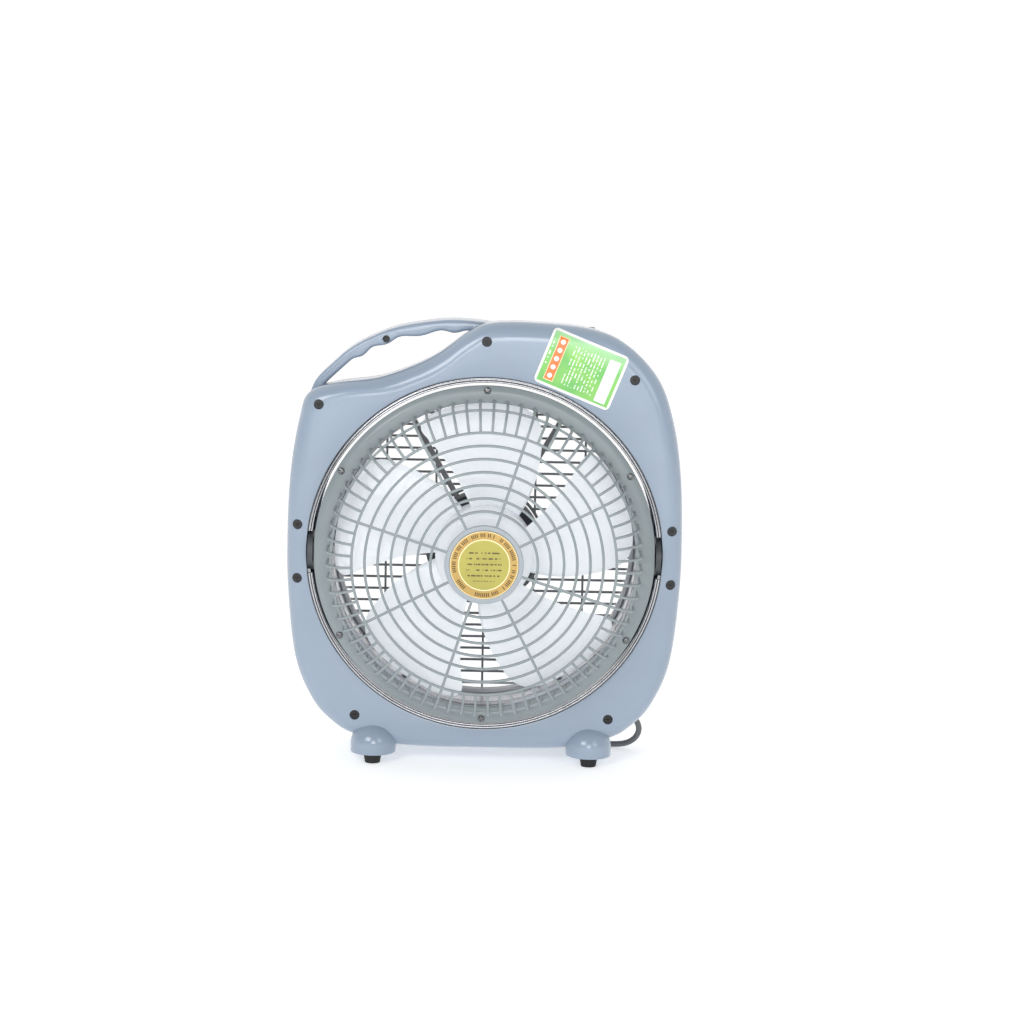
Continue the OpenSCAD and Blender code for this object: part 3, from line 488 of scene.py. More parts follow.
def shade(piece, angle):
    """Smooth shading, except where faces meet at more than the angle in degrees."""
    mesh = piece.data
    mesh.polygons.foreach_set("use_smooth", [True] * len(mesh.polygons))
    mesh.set_sharp_from_angle(angle=math.radians(angle))


def grid_mesh(name, rows, close_rows=True, close_columns=True):
    """Mesh through rows of points: closed round each row, and from the last row to the first."""
    mesh = bpy.data.meshes.new(name)
    add_grid(bm := bmesh.new(), rows, close_rows, close_columns)
    bmesh.ops.recalc_face_normals(bm, faces=bm.faces)
    bm.to_mesh(mesh)
    bm.free()
    return mesh


def add_grid(bm, rows, close_rows=True, close_columns=True, caps=False):
    across = len(rows[0])
    verts = [[bm.verts.new(p) for p in row] for row in rows]
    for i in range(len(rows) if close_columns else len(rows) - 1):
        row, following = verts[i], verts[(i + 1) % len(rows)]
        for j in range(across if close_rows else across - 1):
            k = (j + 1) % across
            bm.faces.new((row[j], row[k], following[k], following[j]))
    if caps:
        bm.faces.new(verts[0][::-1])
        bm.faces.new(verts[-1])
    return verts


def drum_point(radius, y, angle):
    """Point at a radius, depth and angle about the drum's axis, anticlockwise from the right."""
    return CENTRE + Vector((radius * math.cos(angle), y, radius * math.sin(angle)))


def lathe(bm, profile, steps=192):
    """Closed ring about the drum's axis from [radius, depth] points in metres."""
    rows = [[drum_point(r, y, 2 * math.pi * k / steps) for r, y in profile] for k in range(steps)]
    add_grid(bm, rows)


def rounded(profile, radius, steps=3):
    """The profile with its corners rounded off."""
    points = []
    count = len(profile)
    for i in range(count):
        here = Vector(profile[i])
        before = Vector(profile[i - 1]) - here
        after = Vector(profile[(i + 1) % count]) - here
        cut = min(radius, before.length * 0.45, after.length * 0.45)
        start = here + before.normalized() * cut
        end = here + after.normalized() * cut
        for k in range(steps + 1):
            t = k / steps
            points.append((1 - t) ** 2 * start + 2 * t * (1 - t) * here + t * t * end)
    return [tuple(p) for p in points]


def closed_mesh(name, rows):
    """Mesh through rows of points, with a cap on the first row and on the last."""
    bm = bmesh.new()
    add_grid(bm, rows, close_columns=False, caps=True)
    return mesh_from(bm, name)


def sweep(bm, path, side, width, height, corner=0.3, flare=None):
    """Closed bar with a rounded rectangular section along a path. side is across its width."""
    rows = []
    count = len(path)
    for i, point in enumerate(path):
        forward = (path[min(i + 1, count - 1)] - path[max(i - 1, 0)]).normalized()
        up = forward.cross(side).normalized()
        grow = flare(i / (count - 1)) if flare else 1
        w, h = width * grow / 2, height * grow / 2
        section = rounded([(-w, -h), (w, -h), (w, h), (-w, h)], corner * min(width, height), 2)
        rows.append([point + side * a + up * b for a, b in section])
    add_grid(bm, rows, close_columns=False, caps=True)


def mesh_from(bm, name):
    bmesh.ops.recalc_face_normals(bm, faces=bm.faces)
    mesh = bpy.data.meshes.new(name)
    bm.to_mesh(mesh)
    bm.free()
    return mesh


# Edge rounding of the pieces that keep their own mesh, in millimetres
USUAL_BEVEL = 0.3
BEVELS = {"plug_body": 2.5, "speed_knob": 1.2, "foot_pads": 0.6, "capacitor": 1.2, "plug_pins": 0.7,
          "motor_front_cover": 1, "motor_rear_cover": 1, "energy_label": 0.05, "trim_ring": 0.05,
          "stator_windings": 1, "terminal_block": 0.8, "cord_tie": 0.4, "hub_badge": 0.2,
          "badge_rim": 0.2, "blade_nut": 0.8}


def soften(node, width):
    """Rounds the edges of a CAD piece with modifiers, which leave its own mesh as it is."""
    layer = node.data.attributes.get("custom_normal")
    if layer:
        node.data.attributes.remove(layer)
    node.data.polygons.foreach_set("use_smooth", [True] * len(node.data.polygons))
    weld = node.modifiers.new("weld", "WELD")
    weld.merge_threshold = 0.002 * MM
    bevel = node.modifiers.new("bevel", "BEVEL")
    bevel.width = width
    bevel.segments = 2
    bevel.limit_method = "ANGLE"
    bevel.angle_limit = math.radians(38)
    normals = node.modifiers.new("normals", "WEIGHTED_NORMAL")
    normals.weight = 80


def applied(piece):
    """Turns the piece's modifiers into mesh."""
    graph = bpy.context.evaluated_depsgraph_get()
    mesh = bpy.data.meshes.new_from_object(piece.evaluated_get(graph))
    piece.modifiers.clear()
    piece.data = mesh


def cut_or_join(mesh, other, operation):
    """The mesh with another mesh taken away from it or joined on."""
    base = bpy.data.objects.new("base", mesh)
    tool = bpy.data.objects.new("tool", other)
    for item in (base, tool):
        bpy.context.collection.objects.link(item)
    modifier = base.modifiers.new("boolean", "BOOLEAN")
    modifier.operation = operation
    modifier.solver = "EXACT"
    modifier.object = tool
    bpy.context.view_layer.update()
    applied(base)
    result = base.data
    bpy.data.objects.remove(base)
    bpy.data.objects.remove(tool)
    return result


# ---------------------------------------------------------------- the housing's outline

SIDE_LINE = [(196, -39), (197, 23), (194, 82), (186, 132)]
SHOULDER_LINE = [(170.5, 175), (140.5, 208), (105.5, 224.5), (50, 230.5), (2, 229.5)]
GRIP_LINE = [(-22, 218.5), (-50, 198), (-78, 184), (-110, 173), (-150, 167), (-177, 157)]
BOTTOM_LINE = [(188, -109), (170.5, -152), (150.5, -174.5), (128, -187.5), (80, -198)]
HANDLE_LINE = [(-179, 149), (-172, 167), (-154.5, 185), (-137, 200), (-115.5, 212), (-89, 222),
               (-52, 228.5), (-25, 229.5), (2, 227), (16, 222)]


def mirrored(line):
    return [(-x, z) for x, z in line]


def spline(a, b, c, d, t):
    return 0.5 * (2 * b + (c - a) * t + (2 * a - 5 * b + 4 * c - d) * t * t
                  + (3 * b - a - 3 * c + d) * t ** 3)


def closed_curve(points, steps):
    points = [Vector(p) for p in points]
    count = len(points)
    return [spline(points[i - 1], points[i], points[(i + 1) % count], points[(i + 2) % count],
                   k / steps) for i in range(count) for k in range(steps)]


def open_curve(points, steps):
    points = [Vector(p) for p in points]
    last = len(points) - 1
    line = [spline(points[max(i - 1, 0)], points[i], points[i + 1], points[min(i + 2, last)],
                   k / steps) for i in range(last) for k in range(steps)]
    return line + [points[-1]]


def polar_outline(count):
    """Radius of the housing's outline at each of count even angles, in metres."""
    corners = (SIDE_LINE + SHOULDER_LINE + GRIP_LINE + mirrored(SIDE_LINE[::-1])
               + mirrored(BOTTOM_LINE) + [(0, -199.5)] + BOTTOM_LINE[::-1])
    line = closed_curve(corners, 24)
    samples = sorted((math.atan2(p.y, p.x) % (2 * math.pi), p.length) for p in line)
    samples = [(samples[-1][0] - 2 * math.pi, samples[-1][1])] + samples
    samples.append((samples[1][0] + 2 * math.pi, samples[1][1]))
    radii = []
    at = 0
    for k in range(count):
        angle = 2 * math.pi * k / count
        while samples[at + 1][0] < angle:
            at += 1
        (a0, r0), (a1, r1) = samples[at], samples[at + 1]
        radii.append((r0 + (r1 - r0) * (angle - a0) / (a1 - a0)) * MM)
    return radii


# ---------------------------------------------------------------- housing shells

OUTLINE_STEPS = 480
OUTLINE = polar_outline(OUTLINE_STEPS)
WALL = 2.6 * MM
FRONT_ROUND = 17 * MM
REAR_ROUND = 24 * MM
OPENING_R = 177 * MM
REAR_OPENING_R = 172 * MM
SPLIT_TAPER = 2 * MM
BACK_TAPER = 8 * MM
HANDLE_THICK = 10 * MM
HANDLE_HALF_DEPTH = 20 * MM
HANDLE_ROUND = 3.6
HANDLE_SEAM_ROUND = 0.4
WAVE_COUNT = 4
WAVE_SWING = 1.5
WAVES_FROM, WAVES_SPAN = 0.3, 0.5  # as fractions of the handle's length
SEAM = 0.35 * MM
OPENING_BEVEL = 0.8 * MM
SLEEVE_END_Y = PIVOT_Y + 24 * MM
REAR_LIP_DEPTH = 40 * MM
ROUND_STEPS = 18
SHELL_SCREW_R = 5 * MM
GRIP_SCREW_R = 3.8 * MM
SCREW_SINK = 5 * MM
SHELL_SCREWS = [(186, 27), (186, -27), (-186, 27), (-186, -27), (127, -165), (-127, -165),
                (-1.5, 212), (145, 177), (-166, 147)]
GRIP_SCREW = (-102, 209.5)


def round_over(inset, radius):
    """How far a rounded edge has fallen back at an inset from the outline."""
    return radius - math.sqrt(max(radius ** 2 - (radius - min(inset, radius)) ** 2, 0))


def front_shell_profile(outer):
    bevel = OPENING_BEVEL
    points = [(OPENING_R, SLEEVE_END_Y), (OPENING_R, FACE_Y + bevel),
              (OPENING_R + 0.25 * bevel, FACE_Y + 0.25 * bevel), (OPENING_R + bevel, FACE_Y)]
    for k in range(ROUND_STEPS + 1):
        inset = FRONT_ROUND * 1.25 * (1 - math.sin(math.pi / 2 * k / ROUND_STEPS))
        radius = max(outer - inset, OPENING_R + bevel + 0.2 * MM * (k + 1))
        points.append((radius, FACE_Y + round_over(outer - radius, FRONT_ROUND)))
    edge = outer - SPLIT_TAPER
    points += [(edge + SEAM, SPLIT_Y - 6 * SEAM), (edge, SPLIT_Y - SEAM), (edge - SEAM, SPLIT_Y),
               (edge - WALL, SPLIT_Y), (outer - WALL, FACE_Y + FRONT_ROUND),
               (max(outer - FRONT_ROUND * 0.5, OPENING_R + WALL + 1 * MM), FACE_Y + 2 * WALL),
               (OPENING_R + WALL, FACE_Y + WALL * 1.2), (OPENING_R + WALL, SLEEVE_END_Y)]
    return points


def rear_shell_profile(outer):
    edge = outer - SPLIT_TAPER
    start = outer - BACK_TAPER
    points = [(edge - SEAM, SPLIT_Y), (edge, SPLIT_Y + SEAM), (edge + 0.5 * SEAM, SPLIT_Y + 4 * SEAM)]
    for k in range(ROUND_STEPS + 1):
        inset = REAR_ROUND * 1.25 * (1 - math.cos(math.pi / 2 * k / ROUND_STEPS))
        radius = max(start - inset, REAR_OPENING_R + OPENING_BEVEL + 0.2 * MM * (ROUND_STEPS - k + 1))
        points.append((radius, BACK_Y - round_over(start - radius, REAR_ROUND)))
    lip = points[-1][1]
    points += [(REAR_OPENING_R + 0.2 * MM, lip - 0.2 * MM), (REAR_OPENING_R, lip - OPENING_BEVEL),
               (REAR_OPENING_R, BACK_Y - REAR_LIP_DEPTH),
               (REAR_OPENING_R + WALL, BACK_Y - REAR_LIP_DEPTH), (REAR_OPENING_R + WALL, lip - 2 * WALL),
               (max(start - REAR_ROUND * 0.4, REAR_OPENING_R + WALL + 1 * MM), lip - 3 * WALL),
               (start - WALL, BACK_Y - REAR_ROUND), (edge - WALL, SPLIT_Y)]
    return points


def housing_mesh(name, profile):
    rows = []
    for k, outer in enumerate(OUTLINE):
        angle = 2 * math.pi * k / OUTLINE_STEPS
        rows.append([drum_point(r, y, angle) for r, y in profile(outer)])
    return grid_mesh(name, rows)


def handle_mesh(name, outer_y):
    """One half of the carrying handle, from its outer face to the seam, with waves underneath."""
    line = open_curve(HANDLE_LINE, 10)
    last = len(line) - 1
    rows = []
    for i, top in enumerate(line):
        forward = (line[min(i + 1, last)] - line[max(i - 1, 0)]).normalized()
        inward = Vector((forward.y, -forward.x))
        u = (i / last - WAVES_FROM) / WAVES_SPAN
        wave = WAVE_SWING * (1 - math.cos(2 * math.pi * WAVE_COUNT * u)) if 0 < u < 1 else 0
        section = handle_section(outer_y / MM, SPLIT_Y / MM, HANDLE_THICK / MM + wave)
        rows.append([CENTRE + Vector(((top.x + inward.x * d) * MM, y * MM, (top.y + inward.y * d) * MM))
                     for d, y in section])
    return closed_mesh(name, rows)


def handle_section(outer, seam, deep):
    """Section that is rounded on its outer side and nearly square at the seam."""
    big, small = HANDLE_ROUND, HANDLE_SEAM_ROUND
    sign = 1 if seam > outer else -1
    corner = [(big - big * math.sin(a), outer + sign * (big - big * math.cos(a)))
              for a in [math.pi / 2 * k / 6 for k in range(7)]]
    points = corner[::-1]
    points += [(deep - p[0], p[1]) for p in corner]
    points += [(deep, seam - sign * small), (deep - small, seam), (small, seam), (0, seam - sign * small)]
    return points


def cutter_mesh(places, radius, y0, y1):
    bm = bmesh.new()
    for x, z in places:
        rows = [[CENTRE + Vector((x * MM + radius * math.cos(a), y, z * MM + radius * math.sin(a)))
                 for a in [2 * math.pi * k / 32 for k in range(32)]] for y in (y0, y1)]
        add_grid(bm, rows, close_columns=False, caps=True)
    return mesh_from(bm, "cutter")


WELL_R = 20.05 * MM
WELL_CUT_HEIGHT = 60 * MM
WELL_STEPS = 96


def well_place():
    low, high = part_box("control_plate")
    return (low.x + high.x) / 2, (low.y + high.y) / 2, low.z


def well_cutter():
    x, y, z = well_place()
    rows = [[Vector((x + WELL_R * math.cos(a), y + WELL_R * math.sin(a), height))
             for a in [2 * math.pi * k / WELL_STEPS for k in range(WELL_STEPS)]]
            for height in (z, z + WELL_CUT_HEIGHT)]
    return closed_mesh("well_cutter", rows)


def rear_shell_top(x, y):
    """Height of the rear shell's outside above a place on the floor plan, on the knob's side."""
    taper = BACK_TAPER * (y - SPLIT_Y) / (BACK_Y - REAR_ROUND - SPLIT_Y)
    inset = max(SPLIT_TAPER, min(taper, BACK_TAPER))
    past = max(0, y - (BACK_Y - REAR_ROUND))
    inset += REAR_ROUND - math.sqrt(REAR_ROUND ** 2 - past ** 2)
    best = min(range(OUTLINE_STEPS // 8, OUTLINE_STEPS // 4),
               key=lambda k: abs((OUTLINE[k] - inset) * math.cos(2 * math.pi * k / OUTLINE_STEPS) - x))
    return CENTRE.z + (OUTLINE[best] - inset) * math.sin(2 * math.pi * best / OUTLINE_STEPS)


def well_wall():
    """Round wall that drops from the housing's top to the control plate."""
    x, y, z = well_place()
    rows = []
    for k in range(WELL_STEPS):
        a = 2 * math.pi * k / WELL_STEPS
        inner = Vector((x + WELL_R * math.cos(a), y + WELL_R * math.sin(a), 0))
        outer = inner + Vector((WALL * math.cos(a), WALL * math.sin(a), 0))
        top = min(rear_shell_top(inner.x, inner.y), rear_shell_top(outer.x, outer.y)) - 0.5 * MM
        top = max(top, z + 1 * MM)
        rows.append([Vector((inner.x, inner.y, z - 3 * MM)), Vector((inner.x, inner.y, top)),
                     Vector((outer.x, outer.y, top)), Vector((outer.x, outer.y, z - 3 * MM))])
    return grid_mesh("control_well", rows)


def build_shells():
    front = housing_mesh("front_shell_fine", front_shell_profile)
    half = handle_mesh("grip_front", SPLIT_Y - HANDLE_HALF_DEPTH)
    front = cut_or_join(front, half, "UNION")
    front = cut_or_join(front, cutter_mesh(SHELL_SCREWS, SHELL_SCREW_R, FACE_Y - 20 * MM,
                                           FACE_Y + SCREW_SINK), "DIFFERENCE")
    front = cut_or_join(front, cutter_mesh([GRIP_SCREW], GRIP_SCREW_R, FACE_Y,
                                           SPLIT_Y - HANDLE_HALF_DEPTH + SCREW_SINK), "DIFFERENCE")
    new_piece("front_shell_fine", front, "body_plastic", "housing", ["front_shell"], 32)
    rear = housing_mesh("rear_shell_fine", rear_shell_profile)
    half = handle_mesh("grip_rear", SPLIT_Y + HANDLE_HALF_DEPTH)
    rear = cut_or_join(rear, half, "UNION")
    rear = cut_or_join(rear, well_cutter(), "DIFFERENCE")
    new_piece("rear_shell_fine", rear, "body_plastic", "housing", ["rear_shell"], 32)
    new_piece("control_well", well_wall(), "body_plastic", "housing")


# ---------------------------------------------------------------- feet

FOOT_W = 45.5 * MM
FOOT_BOTTOM = 8.5 * MM
FOOT_WAIST = 0.32  # share of the foot's height below its dome
NOSE_STEPS = 40
DOME_STEPS = 16
SHARPEST_R = 0.02 * MM


def build_foot(node):
    """Dome with a round nose towards the outside and a straight tail into the shell."""
    low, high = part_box(node)
    middle_x = (low[0] + high[0]) / 2
    nose, tail = (low[1], high[1]) if node.startswith("front") else (high[1], low[1])
    sign = 1 if tail > nose else -1
    half = FOOT_W / 2
    waist = FOOT_BOTTOM + FOOT_WAIST * (high[2] - FOOT_BOTTOM)
    profile = [(half - 0.9 * MM, FOOT_BOTTOM), (half - 0.25 * MM, FOOT_BOTTOM + 0.3 * MM),
               (half, FOOT_BOTTOM + 1.2 * MM)]
    profile += [(half * math.cos(a), waist + (high[2] - waist) * math.sin(a))
                for a in [math.pi / 2 * k / DOME_STEPS for k in range(DOME_STEPS + 1)]]
    rows = []
    for radius, z in profile:
        radius = max(radius, SHARPEST_R)
        row = [Vector((middle_x - radius, tail, z))]
        for k in range(NOSE_STEPS + 1):
            a = math.pi * k / NOSE_STEPS
            row.append(Vector((middle_x - radius * math.cos(a),
                               nose + sign * (half - radius * math.sin(a)), z)))
        row.append(Vector((middle_x + radius, tail, z)))
        rows.append(row)
    new_piece(node + "_fine", closed_mesh(node, rows), "body_plastic", "housing", [node], 50)


# ---------------------------------------------------------------- grille

FRAME_INNER_R = 152.5 * MM
RING_R = 169.5 * MM
HUB_R = 38.6 * MM
FIRST_RING_R = 52.2 * MM
RING_PITCH = 12.8 * MM
RING_COUNT = 7
BAR_Y = GRILLE_Y + 1.2 * MM
BAR_DEPTH = 3 * MM
SPOKE_Y = BAR_Y + 1.8 * MM
BADGE_SEAT_R = 33.6 * MM
FIRST_SPOKE = math.radians(27.5)
RIB_W = 2.6 * MM
RIB_T = 2.8 * MM
RIB_BEND = 24 * MM
RIB_COUNT = 72
SPOKE_COUNT = 8


def rectangle(inner, outer, front, back):
    """Profile from an inner to an outer radius and from a front to a back depth."""
    return [(inner, front), (outer, front), (outer, back), (inner, back)]


def tangent(angle):
    return Vector((-math.sin(angle), 0, math.cos(angle)))


def rib_flare(t):
    """How much a rib grows towards its foot in the frame ring."""
    return 1 + 0.5 * max(0, (t - 0.86) / 0.14) ** 2


def build_grille():
    """Rings, curved ribs and spokes in one dome, with a frame ring and a seat for the badge."""
    bm = bmesh.new()
    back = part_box("drum_duct")[0][1]
    lathe(bm, rounded([(FRAME_INNER_R, back), (FRAME_INNER_R, RING_Y), (RING_R - 5 * MM, RING_Y),
                       (RING_R, RING_Y + 3.5 * MM), (RING_R, back)], 2.2 * MM, 5))
    for k in range(RING_COUNT):
        middle = FIRST_RING_R + k * RING_PITCH
        bar = rectangle(middle - RIB_W / 2, middle + RIB_W / 2, BAR_Y, BAR_Y + BAR_DEPTH)
        lathe(bm, rounded(bar, 0.9 * MM, 3))
    outer = FRAME_INNER_R + 3.2 * MM
    last_ring = FIRST_RING_R + (RING_COUNT - 1) * RING_PITCH
    side_ring = rectangle(outer - 7.2 * MM, outer - 4.7 * MM, BAR_Y + 11 * MM, BAR_Y + 14 * MM)
    lathe(bm, rounded(side_ring, 0.8 * MM, 2))
    lathe(bm, rounded([(0.1 * MM, GRILLE_Y + 2.5 * MM), (BADGE_SEAT_R, GRILLE_Y + 2.5 * MM),
                       (BADGE_SEAT_R, GRILLE_Y + 0.4 * MM), (HUB_R, GRILLE_Y + 0.6 * MM),
                       (HUB_R, GRILLE_Y + 6 * MM), (0.1 * MM, GRILLE_Y + 6 * MM)], 1.3 * MM, 4))
    middle_r = outer - RIB_T / 2 - (RIB_BEND - RIB_T / 2)
    bend = RIB_BEND - RIB_T / 2
    for k in range(RIB_COUNT):
        angle = 2 * math.pi * (k + 0.5) / RIB_COUNT
        path = [drum_point(last_ring, SPOKE_Y, angle)]
        for i in range(11):
            a = math.pi / 2 * i / 10
            path.append(drum_point(middle_r + bend * math.sin(a),
                                   BAR_Y + 0.4 * MM + RIB_BEND - bend * math.cos(a), angle))
        for y in (RING_Y - 10 * MM, RING_Y - 4 * MM, RING_Y - 1.6 * MM, RING_Y, RING_Y + 3 * MM):
            path.append(drum_point(middle_r + bend, y, angle))
        sweep(bm, path, tangent(angle), RIB_W, RIB_T, flare=rib_flare)
    for k in range(SPOKE_COUNT):
        angle = FIRST_SPOKE + 2 * math.pi * k / SPOKE_COUNT
        path = [drum_point(r, SPOKE_Y, angle) for r in (HUB_R - 3 * MM, 60 * MM, 90 * MM, last_ring)]
        sweep(bm, path, tangent(angle), RIB_W, BAR_DEPTH)
    new_piece("front_grille_fine", mesh_from(bm, "front_grille"), "grille_plastic", "drum",
              ["front_grille"], 45)


# ---------------------------------------------------------------- trim ring and screws

BEAD_R = 0.95 * MM
BEAD_RADII = (172.8 * MM, 175 * MM)
BEAD_STEPS = 12
BAND_INNER_R = 171.9 * MM
BAND_DEPTH = 2.9 * MM
TRIM_PROUD = 0.9 * MM
TRIM_STEPS = 160
TRIM_GAP = math.asin(21.5 / 177)  # half the angle that is left free at each pivot
SCREW_CIRCLE_R = 164.7 * MM
SCREW_COUNT = 6
SCREW_HEAD = [(0.02, -1.6), (1.6, -1.58), (2.6, -1.35), (3.2, -0.9), (3.5, -0.2), (3.5, 0.2)]
CROSS_REACH = (-2.1, -1, 1, 2.1)


def build_trim():
    """Two bright beads on a band, in an upper and a lower arc between the two pivots."""
    bm = bmesh.new()
    front = FACE_Y - TRIM_PROUD
    beads = [[(r + BEAD_R * math.cos(a), front + BEAD_R * math.sin(a))
              for a in [2 * math.pi * k / BEAD_STEPS for k in range(BEAD_STEPS)]] for r in BEAD_RADII]
    band = rectangle(BAND_INNER_R, OPENING_R - 0.05 * MM, front, front + BAND_DEPTH)
    sweep_angle = math.pi - 2 * TRIM_GAP
    for start in (TRIM_GAP, math.pi + TRIM_GAP):
        for profile in beads + [rounded(band, 0.3 * MM, 2)]:
            rows = [[drum_point(r, y, start + sweep_angle * k / TRIM_STEPS) for r, y in profile]
                    for k in range(TRIM_STEPS + 1)]
            add_grid(bm, rows, close_columns=False, caps=True)
    new_piece("trim_ring_fine", mesh_from(bm, "trim_ring"), "trim_chrome", "housing", ["trim_ring"], 50)


def build_ring_screws():
    """Pan heads, each with a dark cross: painted shade standing for the sunk cross recess."""
    heads, crosses = bmesh.new(), bmesh.new()
    for k in range(SCREW_COUNT):
        middle = drum_point(SCREW_CIRCLE_R, RING_Y, math.radians(30 + 60 * k))
        rows = [[middle + Vector((r * MM * math.cos(a), y * MM, r * MM * math.sin(a)))
                 for a in [2 * math.pi * i / 32 for i in range(32)]] for r, y in SCREW_HEAD]
        add_grid(heads, rows, close_columns=False, caps=True)
        # Each dark cross is a thin black sheet in the head's face: painted shade standing for the sunk
        # cross recess.
        for turn in (0.4 + k, 0.4 + k + math.pi / 2):
            across = Vector((math.cos(turn), 0, math.sin(turn)))
            path = [middle + across * d * MM + Vector((0, -1.52 * MM, 0)) for d in CROSS_REACH]
            sweep(crosses, path, Vector((0, 1, 0)), 0.14 * MM, 0.95 * MM, 0.1)
    new_piece("ring_screws_fine", mesh_from(heads, "ring_screws"), "steel_screws", "drum",
              ["ring_screws"], 50)
    new_piece("ring_screw_cross_shade", mesh_from(crosses, "ring_screw_cross_shade"), "black_screws", "drum")


# ---------------------------------------------------------------- blade wheel

BLADE_R = 149.6 * MM
BLADE_COUNT = 5
WHEEL_HUB_R = 49 * MM
BLADE_DEPTH = 30 * MM
BLADE_T = 2 * MM
BLADE_ROOT_R = 47.5 * MM
TIP_ROUND = 16 * MM
ALONG_STEPS = 26
ACROSS_STEPS = 30


def blade_point(u, radius, hub_back):
    """Middle surface of a blade: u runs from its rear edge to its front edge."""
    r = radius / MM
    middle = 301.6 + 0.18 * (r - 100)
    fill = 72 - 17 - 0.1 * (r - 100)
    angle = math.radians(middle + fill * (u - 0.5))
    rise = (radius - WHEEL_HUB_R) / (BLADE_R - WHEEL_HUB_R)
    y = hub_back - 3 * MM - BLADE_DEPTH * (0.08 + 0.92 * u) + 5 * MM * math.sin(math.pi * u) * (
        0.4 + 0.6 * rise)
    return angle, y


def blade_rows(turn, hub_back):
    """Sections of one blade from its root to its tip, thin at the edges, with a rounded tip."""
    rows = []
    for i in range(ALONG_STEPS + 1):
        t = i / ALONG_STEPS
        radius = BLADE_ROOT_R + (BLADE_R - BLADE_ROOT_R) * (1 - (1 - t) ** 1.5)
        d = max(0, radius - (BLADE_R - TIP_ROUND)) / TIP_ROUND
        trim = 0.16 * (1 - math.sqrt(max(0, 1 - d * d)))
        thick = BLADE_T * (1.5 - 0.8 * min(1, t * 1.4)) / 2
        front, rear = [], []
        for j in range(ACROSS_STEPS + 1):
            u = trim + (1 - 2 * trim) * j / ACROSS_STEPS
            angle, y = blade_point(u, radius, hub_back)
            edge = min(j, ACROSS_STEPS - j) / ACROSS_STEPS
            slim = thick * min(1, 0.25 + math.sqrt(edge * 12)) if edge < 0.08 else thick
            front.append(drum_point(radius, y - slim, angle + turn))
            rear.append(drum_point(radius, y + slim, angle + turn))
        rows.append(front + rear[::-1])
    return rows


def build_wheel():
    hub_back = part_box("motor_front_cover")[0][1] - 5 * MM
    hub_front = RING_Y + 2 * MM
    bm = bmesh.new()
    for b in range(BLADE_COUNT):
        rows = blade_rows(2 * math.pi * b / BLADE_COUNT, hub_back)
        add_grid(bm, rows, close_columns=False, caps=True)
    lathe(bm, rounded([(0.1 * MM, hub_front + 3 * MM), (0.1 * MM, hub_front), (40 * MM, hub_front),
                       (WHEEL_HUB_R, hub_front + 5 * MM), (WHEEL_HUB_R, hub_back),
                       (46 * MM, hub_back), (46 * MM, hub_front + 7 * MM), (41 * MM, hub_front + 3 * MM)],
                      3 * MM, 6), 160)
    new_piece("blade_wheel_fine", mesh_from(bm, "blade_wheel"), "blade_plastic", "rotor",
              ["blade_wheel"], 60)


# ---------------------------------------------------------------- power cord

CORD_D = 6 * MM
ROUTE = [(156.2, 28, 36), (159, 28.4, 32.9), (161.4, 29.5, 28.5), (162.4, 31, 23),
         (161.2, 34, 17), (157.6, 38, 11), (152, 42, 6.5), (145, 45.5, 3.9), (136, 48, 3),
         (122, 49, 3), (108, 49.5, 3), (95, 51, 3), (84, 55, 3), (76, 63, 3), (71, 75, 3),
         (67.5, 90, 3), (65.2, 106, 3), (63.8, 121, 3), (63.2, 135, 3)]
TAIL = [(14, 190.6, 9), (2, 188.4, 8.2), (-9, 184, 6.8), (-19, 178, 6), (-27, 170.5, 6.4),
        (-32, 161, 7.5), (-32, 156, 7.5)]
COIL_CENTRE = (24, 152)
COIL_PITCH = 6.1
COIL_MIDDLE_R = 33
COIL_HEIGHTS = (3, 9.1)  # of the lower and the upper layer
COIL_DIP = 3.5  # how far the cord swings in where it climbs
TURN_POINTS = 36
STEP_FROM = 300 / 360  # each turn moves over to the next over its last stretch


def smooth(t):
    return t * t * (3 - 2 * t)


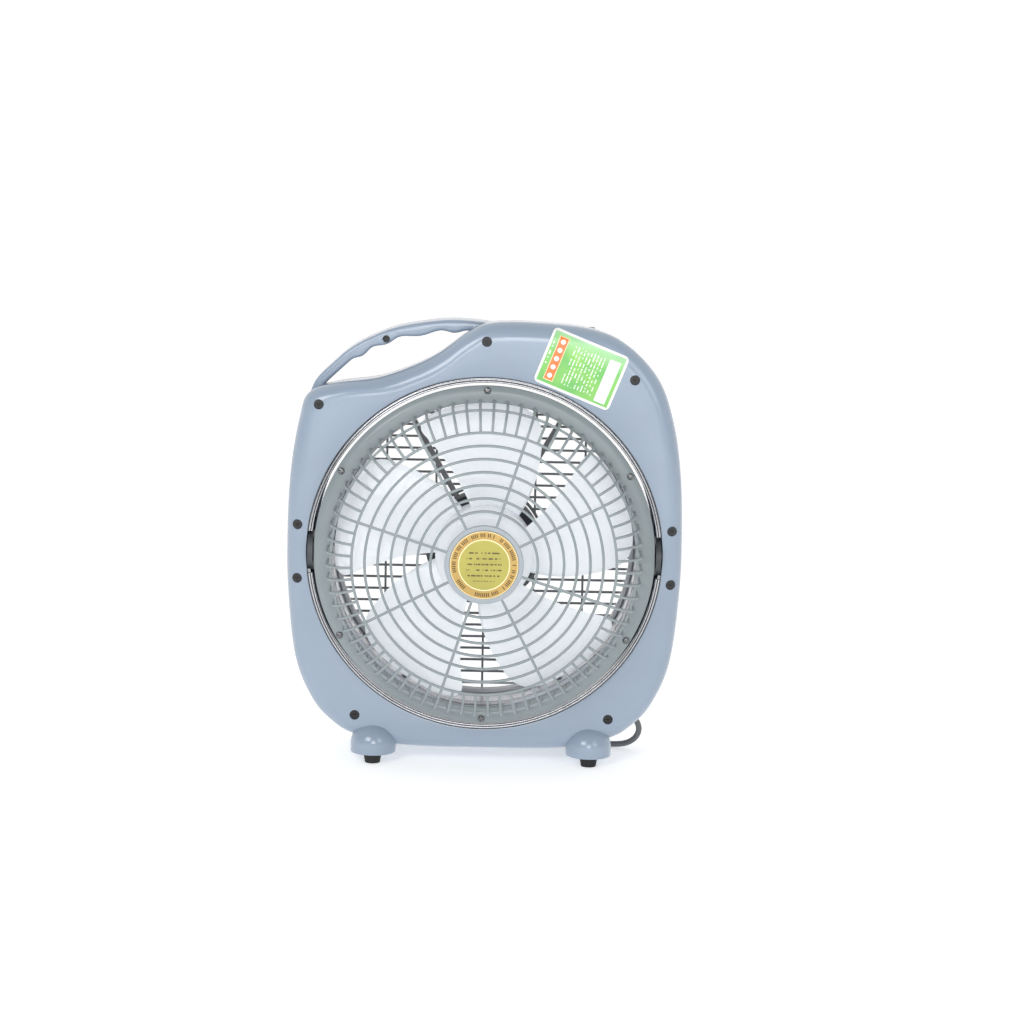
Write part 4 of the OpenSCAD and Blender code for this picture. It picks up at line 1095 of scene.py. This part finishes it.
def coil_points():
    """Three turns inward on the floor, a climb, and two and a quarter turns outward on top."""
    radii = [COIL_MIDDLE_R + COIL_PITCH * k for k in (1, 0, -1, -1, 0, 1)]
    heights = [COIL_HEIGHTS[0]] * 3 + [COIL_HEIGHTS[1]] * 3
    points = []
    for turn in range(6):
        steps = TURN_POINTS if turn < 5 else TURN_POINTS // 4
        for k in range(steps):
            t = k / TURN_POINTS
            s = smooth(max(0, (t - STEP_FROM) / (1 - STEP_FROM)))
            following = min(turn + 1, 5)
            radius = radii[turn] + (radii[following] - radii[turn]) * s
            height = heights[turn] + (heights[following] - heights[turn]) * s
            if turn == 2:
                radius -= COIL_DIP * math.sin(math.pi * s)
            a = 2 * math.pi * t
            points.append((COIL_CENTRE[0] + radius * math.cos(a),
                           COIL_CENTRE[1] + radius * math.sin(a), height))
    return points


def build_cord():
    points = [Vector(p) * MM for p in ROUTE + coil_points() + TAIL]
    data = bpy.data.curves.new("power_cord", "CURVE")
    data.dimensions = "3D"
    data.bevel_depth = CORD_D / 2
    data.bevel_resolution = 5
    data.use_fill_caps = True
    data.resolution_u = 3
    line = data.splines.new("NURBS")
    line.points.add(len(points) - 1)
    for point, p in zip(line.points, points):
        point.co = (*p, 1)
    line.order_u = 3
    line.use_endpoint_u = True
    data.materials.append(MATERIALS["cord_pvc"])
    cord = bpy.data.objects.new("power_cord", data)
    bpy.context.collection.objects.link(cord)
    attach(cord, "housing")
    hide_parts("cord_tube", "cord_coil", "cord_tail")


# ---------------------------------------------------------------- making everything

MATERIALS = make_materials()
print_label(MATERIALS["label_film"])
print_badge(MATERIALS["badge_gold"], MATERIALS["badge_rim"])
tint_rings()
add_camera()
build_cord()
add_world()
bpy.context.scene.view_settings.view_transform = "Standard"
add_floor()
add_light("key", place=(-1.3, -2.4, 1.7), size=(1.2, 1.2), power=31)
add_light("fill", place=(1.6, -2.2, 1.2), size=(1.0, 1.4), power=11)
add_light("front", place=(0.1, -2.9, 0.7), size=(0.9, 0.9), power=17)

SLOT_OF = {s["node"]: s["material_slot"] for s in frame["record"]["subparts"]}
for name, node in frame["nodes"].items():
    node.data.materials.clear()
    node.data.materials.append(MATERIALS[SLOT_OF[name]])
    soften(node, BEVELS.get(name, USUAL_BEVEL) * MM)

build_shells()
for foot in ("front_left_foot", "front_right_foot", "rear_left_foot", "rear_right_foot"):
    build_foot(foot)
build_grille()
build_trim()
build_ring_screws()
build_wheel()
